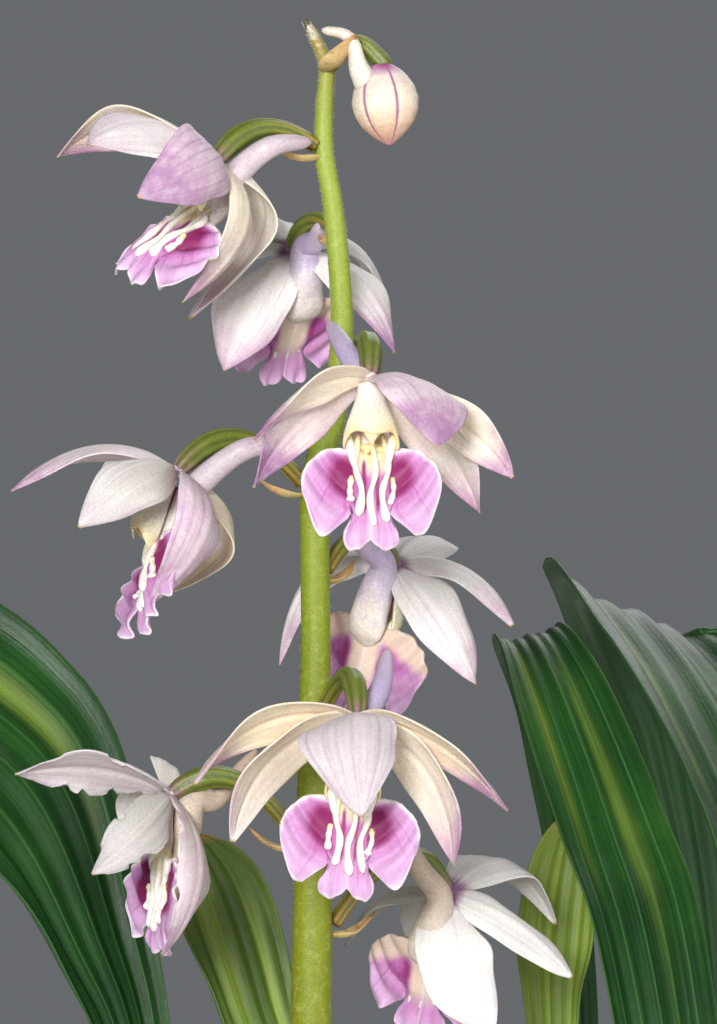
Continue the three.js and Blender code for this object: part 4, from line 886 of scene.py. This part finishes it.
# Bracts: a small papery scale under each flower's foot, and a larger one under the bud
def bract(route, width, up, seed):
    half = bladeWidth(width, 0.5, 0.9)
    wave = lambda u, v, reach: 0.00018 * np.abs(v) ** 2 * np.sin(9 * u + seed)
    return blade(route, lambda centre, tangent: vec(up) + 0 * centre,
        lambda u: np.maximum(bractSizes["leastHalf"], half(u)), bractSizes["rows"], bractSizes["cols"],
        bractSizes["cup"], bractSizes["thickness"], relief=wave)


parts = []
for k, bloom in enumerate(blooms):
    foot, arch = vec(bloom["foot"]), vec(bloom["heart"]) + vec(bloom["arch"])
    out = unit((arch - foot) * vec([1, 1, 0.2]))
    parts.append(bract(bend(foot - 0.0008 * out - vec([0, 0, 0.0012]),
            foot + 0.0026 * out - vec([0, 0, 0.0016]), foot + 0.0054 * out + vec([0, 0, 0.0002])),
            bractSizes["width"], (0, 0, 1), k))
parts.append(bract(bend((-0.0047, -0.0006, 0.4047), (-0.003, -0.004, 0.4058), (-0.0012, -0.0052, 0.4084)),
        bractSizes["budWidth"], (-0.4, 0.9, 0.5), 3.3))
makePiece("stem_bracts", parts, [bractSkin], [])
print("stem made")

# Last bud: three sepals still closed, their seams showing, with the spur standing out of the top
budWidth = readOff([(0, 1.1), (0.06, 1.9), (0.15, 2.65), (0.3, 3.4), (0.45, 3.7), (0.6, 3.5), (0.75, 2.85),
        (0.88, 1.75), (0.95, 0.9), (1, 0.25)])
softBud = lambda u: mm * (budWidth(max(0, u - 0.02)) + budWidth(u) + budWidth(min(1, u + 0.02))) / 3
seamLines = lambda angles, width: bump(np.abs(np.sin(3 * (angles - 0.35))), 0, width)
seam = lambda u, angles: 1 - 0.04 * seamLines(angles, 0.16) + 0.02 * np.cos(3 * (angles - 0.35) + math.pi)
body = tube(spline([bud["top"], (vec(bud["top"]) + vec(bud["tip"])) / 2, bud["tip"]]), softBud, 72, 60,
    shape=seam)
body["values"]["seams"] = seamLines(body["values"]["turn"] * 2 * math.pi, 0.17)
spurShape = readOff([(0, 1.75), (0.15, 1.35), (0.4, 0.85), (0.8, 0.6), (0.95, 0.48), (1, 0.2)])
spur = tube(spline(bud["spur"]), lambda u: mm * spurShape(u), 22, 50, material=1)
makePiece("bud_closed", [body, spur], [budSkin, budSpurSkin], ["bud_tepals"])
stalkShape = readOff([(0, 0.7), (0.6, 0.95), (1, 0.9)])
stalk = tube(spline([*bud["stalk"], bud["stalkEnd"]]), lambda u: mm * stalkShape(u), 36, 40, ribs=ovaryRibs,
    ribDepth=0.07)
makePiece("bud_stalk", [stalk], [ovarySkin], ["bud_pedicel"])
print("bud made")

# Growths: bulbs with papery sheaths, and pleated leaves that rise and arch over
leafSizes = {"rows": 132, "cols": 56, "cup": 0.35, "thickness": 0.0006, "pleat": 0.001, "petiole": 0.003}
# how much painted light each leaf carries, leaf by leaf
leafLit = {"growth_1": [0.2, 0.6, 0.2], "growth_2": [0.25, 0.2, 0.8], "growth_3": [0.25, 0.3]}


def makeLeaf(leaf, lit, seed):
    across = vec([leaf["lean"][1], -leaf["lean"][0], leaf["bank"]])
    taper = bladeWidth(leaf["width"], leaf["rise"], leaf["fall"])
    half = lambda u: np.maximum(0.0004, taper(u) + leafSizes["petiole"] * np.maximum(0, 1 - 1.2 * u))

    def relief(u, v, reach):
        room = np.minimum(1, reach / 0.01)
        fold = -leafSizes["pleat"] * (0.5 - 0.5 * np.cos(2 * math.pi * v)) * room
        pleats = 0.00032 * np.cos(2 * math.pi * 3 * v) * room
        wave = 0.0011 * np.abs(v) ** 3 * np.sin(2 * math.pi * 3.2 * u + seed + 1.3 * np.sign(v)) * room
        return fold + pleats + wave

    def paint(u, v):
        # painted light: a bright patch and a streak on each leaf, and lighter margins
        paintedHighlight = 0.5 * bump(v, 0.55, 0.12) * bump(u, 0.62, 0.2)
        paintedLightStreak = paintedHighlight + 0.35 * bump(v, -0.3, 0.2) * bump(u, 0.75, 0.15)
        return {"lit": lit + paintedLightStreak + 0.1 * np.abs(v) ** 6, "seed": seed * 5 + 0 * u}

    return blade(spline(leaf["route"]), lambda centre, tangent: np.cross(across, tangent), half,
        leafSizes["rows"], leafSizes["cols"], leafSizes["cup"], leafSizes["thickness"], relief=relief,
        paint=paint)


for order, growth in enumerate(growths):
    base, radius, name = vec(growth["bulb"]), growth["radius"], growth["name"]
    parts = [makeLeaf(leaf, leafLit[name][k], order * 2.4 + k * 1.9)
        for k, leaf in enumerate(growth["leaves"])]
    tall = radius * 1.35
    rounded = lambda u: radius * np.sqrt(np.maximum(0.02, 1 - (2 * u - 1) ** 2))
    ringed = lambda u, angles: 1 + 0.03 * np.cos(40 * u) + 0.02 * np.sin(3 * angles)
    parts.append(tube(spline([base - [0, 0, tall], base, base + [0, 0, tall]]), rounded, 32, 36,
            shape=ringed, material=1))
    for k, leaf in enumerate(growth["leaves"]):
        first, second = vec(leaf["route"][0]), vec(leaf["route"][1])
        neck = readOff([(0, 5.0), (0.35, 4.7), (0.6, 4.0), (0.9, 1.9), (1, 1.1)])
        line = spline([base, first, first + 0.35 * (second - first)])
        rolled = lambda u, angles: 1 + 0.05 * np.cos(angles + k) + 0.03 * np.sin(14 * u + 2 * angles)
        parts.append(tube(line, lambda u: mm * neck(u), 28, 40, shape=rolled, material=1))
    makePiece(name + "_leaves_and_bulb", parts, [leafSkin, sheathSkin], [name])
print("growths made")

# Pot: thrown terracotta with a rolled rim and four drain holes
potSizes = {"segments": 144, "drain": 0.005, "drainRing": 0.029}
potProfile = [(0, 0), (0.0495, 0), (0.0508, 0.0004), (0.0516, 0.001), (0.052, 0.002), (0.0558, 0.026),
    (0.0596, 0.05), (0.0634, 0.074), (0.0668, 0.0952), (0.0674, 0.0966), (0.069, 0.0971), (0.0712, 0.0975),
    (0.0722, 0.0987), (0.0731, 0.106), (0.0742, 0.116), (0.0748, 0.1222), (0.0744, 0.1238),
    (0.0732, 0.1248), (0.071, 0.125), (0.0688, 0.1249), (0.0674, 0.1242), (0.067, 0.1228), (0.0649, 0.112),
    (0.063, 0.098), (0.0618, 0.0965), (0.0538, 0.05), (0.0471, 0.007), (0, 0.007)]


def lathe(profile, segments, wobble=None):
    angles = np.linspace(0, 2 * math.pi, segments, endpoint=False)
    profile = vec(profile)
    inner = profile[1:-1]
    radii = inner[:, 0][:, None] * (1 + (wobble(inner[:, 1][:, None], angles[None]) if wobble
            else 0 * angles[None]))
    points = np.stack([radii * np.cos(angles), radii * np.sin(angles),
            np.repeat(inner[:, 1][:, None], segments, 1)], -1).reshape(-1, 3)
    points = np.concatenate([points, [[0, 0, profile[0, 1]], [0, 0, profile[-1, 1]]]])
    return {"points": points, "faces": np.concatenate([gridFaces(len(inner) - 1, segments, True),
            fans(segments, (len(inner) - 1) * segments, len(inner) * segments)]), "values": {},
        "material": 0}


thrown = lambda z, angles: 0.0012 * np.sin(3 * angles + 40 * z) + 0.0008 * np.sin(7 * angles)
pot = makePiece("pot_terracotta", [lathe(potProfile, potSizes["segments"], thrown)], [clay], ["pot"])
drains = []
for k in range(4):
    angle = math.pi / 4 + k * math.pi / 2
    hole = vec([math.cos(angle), math.sin(angle), 0]) * potSizes["drainRing"]
    drains.append(tube(spline([hole - [0, 0, 0.01], hole, hole + [0, 0, 0.02]]),
            lambda u: potSizes["drain"], 28, 2))
cutter = makePiece("drain_cutter", drains, [clay], [])
cut = pot.modifiers.new("drains", "BOOLEAN")
cut.object, cut.operation, cut.solver = cutter, "DIFFERENCE", "EXACT"
bpy.context.view_layer.update()
drilled = bpy.data.meshes.new_from_object(pot.evaluated_get(bpy.context.evaluated_depsgraph_get()))
pot.modifiers.clear()
pot.data = drilled
bpy.data.objects.remove(cutter)
print("pot made")

# Mix: a bed of bark with loose chips on it
mixSizes = {"chips": 1000, "spread": 0.0635, "least": 0.0016, "most": 0.0055}
innerAt = lambda z: (0.052 + (0.067 - 0.052) * z / 0.098) - 0.006
bedProfile = [(0, 0.0073), (innerAt(0.0073) - 0.0009, 0.0073), (innerAt(0.04) - 0.0004, 0.04),
    (innerAt(0.098) - 0.0004, 0.098), (innerAt(0.098) + 0.0009, 0.1115)]
bedProfile += [(r, 0.1125 + 0.0007 * math.sin(r * 90) + 0.0004 * math.cos(r * 210))
    for r in np.linspace(0.0605, 0.002, 34)] + [(0, 0.1125)]
bed = lathe(bedProfile, 150)
lump = chance.normal(0, 1, (14, 3)) * 260
height = sum(np.sin(bed["points"] @ wave + k) for k, wave in enumerate(lump)) / 14
bed["points"][:, 2] += np.where(bed["points"][:, 2] > 0.1122, 0.0022 * height, 0)
bed["values"]["tone"] = 0.3 + 0.25 * height


def chip(centre, size, tone):
    ring = np.linspace(0, 2 * math.pi, 6, endpoint=False)
    stretch = chance.uniform(0.5, 1.3, 3) * size
    shell = np.concatenate([np.stack([np.cos(ring) * w, np.sin(ring) * w, ring * 0 + h], -1)
            for w, h in ((0.7, -0.45), (1.0, 0.0), (0.65, 0.5))] + [[[0, 0, -0.6], [0, 0, 0.62]]])
    shell = shell * (1 + chance.uniform(-0.2, 0.2, shell.shape)) * stretch
    turn, _ = np.linalg.qr(chance.normal(0, 1, (3, 3)))
    turn = turn * np.sign(np.linalg.det(turn))
    return {"points": shell @ turn.T + centre, "faces": np.concatenate([gridFaces(2, 6, True),
            fans(6, 12, 18)]), "values": {"tone": np.full(20, tone)}, "material": 0}


chips = [bed]
for k in range(mixSizes["chips"]):
    r, a = mixSizes["spread"] * math.sqrt(chance.uniform(0, 1)), chance.uniform(0, 2 * math.pi)
    size = chance.uniform(mixSizes["least"], mixSizes["most"]) * (0.6 if r > 0.058 else 1)
    r = min(r, 0.0632 - size)
    chips.append(chip(vec([r * math.cos(a), r * math.sin(a), 0.1128 + chance.uniform(0, 0.0018)]), size,
            0.95 if chance.uniform() < 0.1 else chance.uniform(0.1, 0.75)))
makePiece("bark_mix", chips, [bark], ["soil"], rough=True)
print("mix made")

# Floor, light and camera
floorLook = {"pale": "#dcdad4", "grain": "#cfcdc6", "air": "#b4b8bc", "airPower": 0.3, "half": 1.6}
floorPaint, tree, values, place = startMaterial("matt_studio_floor", Roughness=0.9)
grain = addNode(tree, "TexNoise", {"Vector": place, "Scale": 40.0, "Detail": 3})
colour = layered(tree, linear(floorLook["pale"]), [(masked(tree, 0.3, 0.8, (1, grain), most=0.08),
        floorLook["grain"])])
tree.links.new(colour, tree.nodes["Principled BSDF"].inputs["Base Color"])
floorMesh = bpy.data.meshes.new("floor")
floorMesh.from_pydata([(x * floorLook["half"], y * floorLook["half"], -0.0002)
        for x, y in ((-1, -1), (1, -1), (1, 1), (-1, 1))], [], [(0, 1, 2, 3)])
floorMesh.materials.append(floorPaint)
floor = bpy.data.objects.new("studio_floor", floorMesh)
bpy.context.scene.collection.objects.link(floor)

lights = [("key_light", (-0.25, -1.2, 0.62), 0.4, 17.0), ("fill_light", (0.8, -0.8, 0.45), 0.9, 4.5),
    ("back_light", (0.3, 0.9, 1.0), 0.8, 4.0)]
aim = vec([0, 0, 0.33])
for name, place, size, power in lights:
    lamp = bpy.data.lights.new(name, "AREA")
    lamp.shape, lamp.size, lamp.energy = "DISK", size, power
    light = bpy.data.objects.new(name, lamp)
    light.location = place
    light.rotation_mode = "QUATERNION"
    light.rotation_quaternion = Vector(tuple(aim - vec(place))).to_track_quat("-Z", "Y")
    bpy.context.scene.collection.objects.link(light)
world = bpy.data.worlds.new("studio_air")
world.use_nodes = True
world.node_tree.nodes["Background"].inputs[0].default_value = linear(floorLook["air"])
world.node_tree.nodes["Background"].inputs[1].default_value = floorLook["airPower"]
bpy.context.scene.world = world
bpy.context.scene.view_settings.view_transform = "Standard"

photo = {"height": 1024, "perPixel": 0.00011, "distance": 0.52, "centre": (-0.001, 0.3563)}
camera = bpy.data.cameras.new("photo_view")
camera.sensor_width = 36
camera.lens = camera.sensor_width * photo["distance"] / (photo["height"] * photo["perPixel"])
view = bpy.data.objects.new("photo_view", camera)
view.location = (photo["centre"][0], -photo["distance"], photo["centre"][1])
view.rotation_euler = (math.pi / 2, 0, 0)
bpy.context.scene.collection.objects.link(view)
bpy.context.scene.camera = view
print("floor, light and camera made")
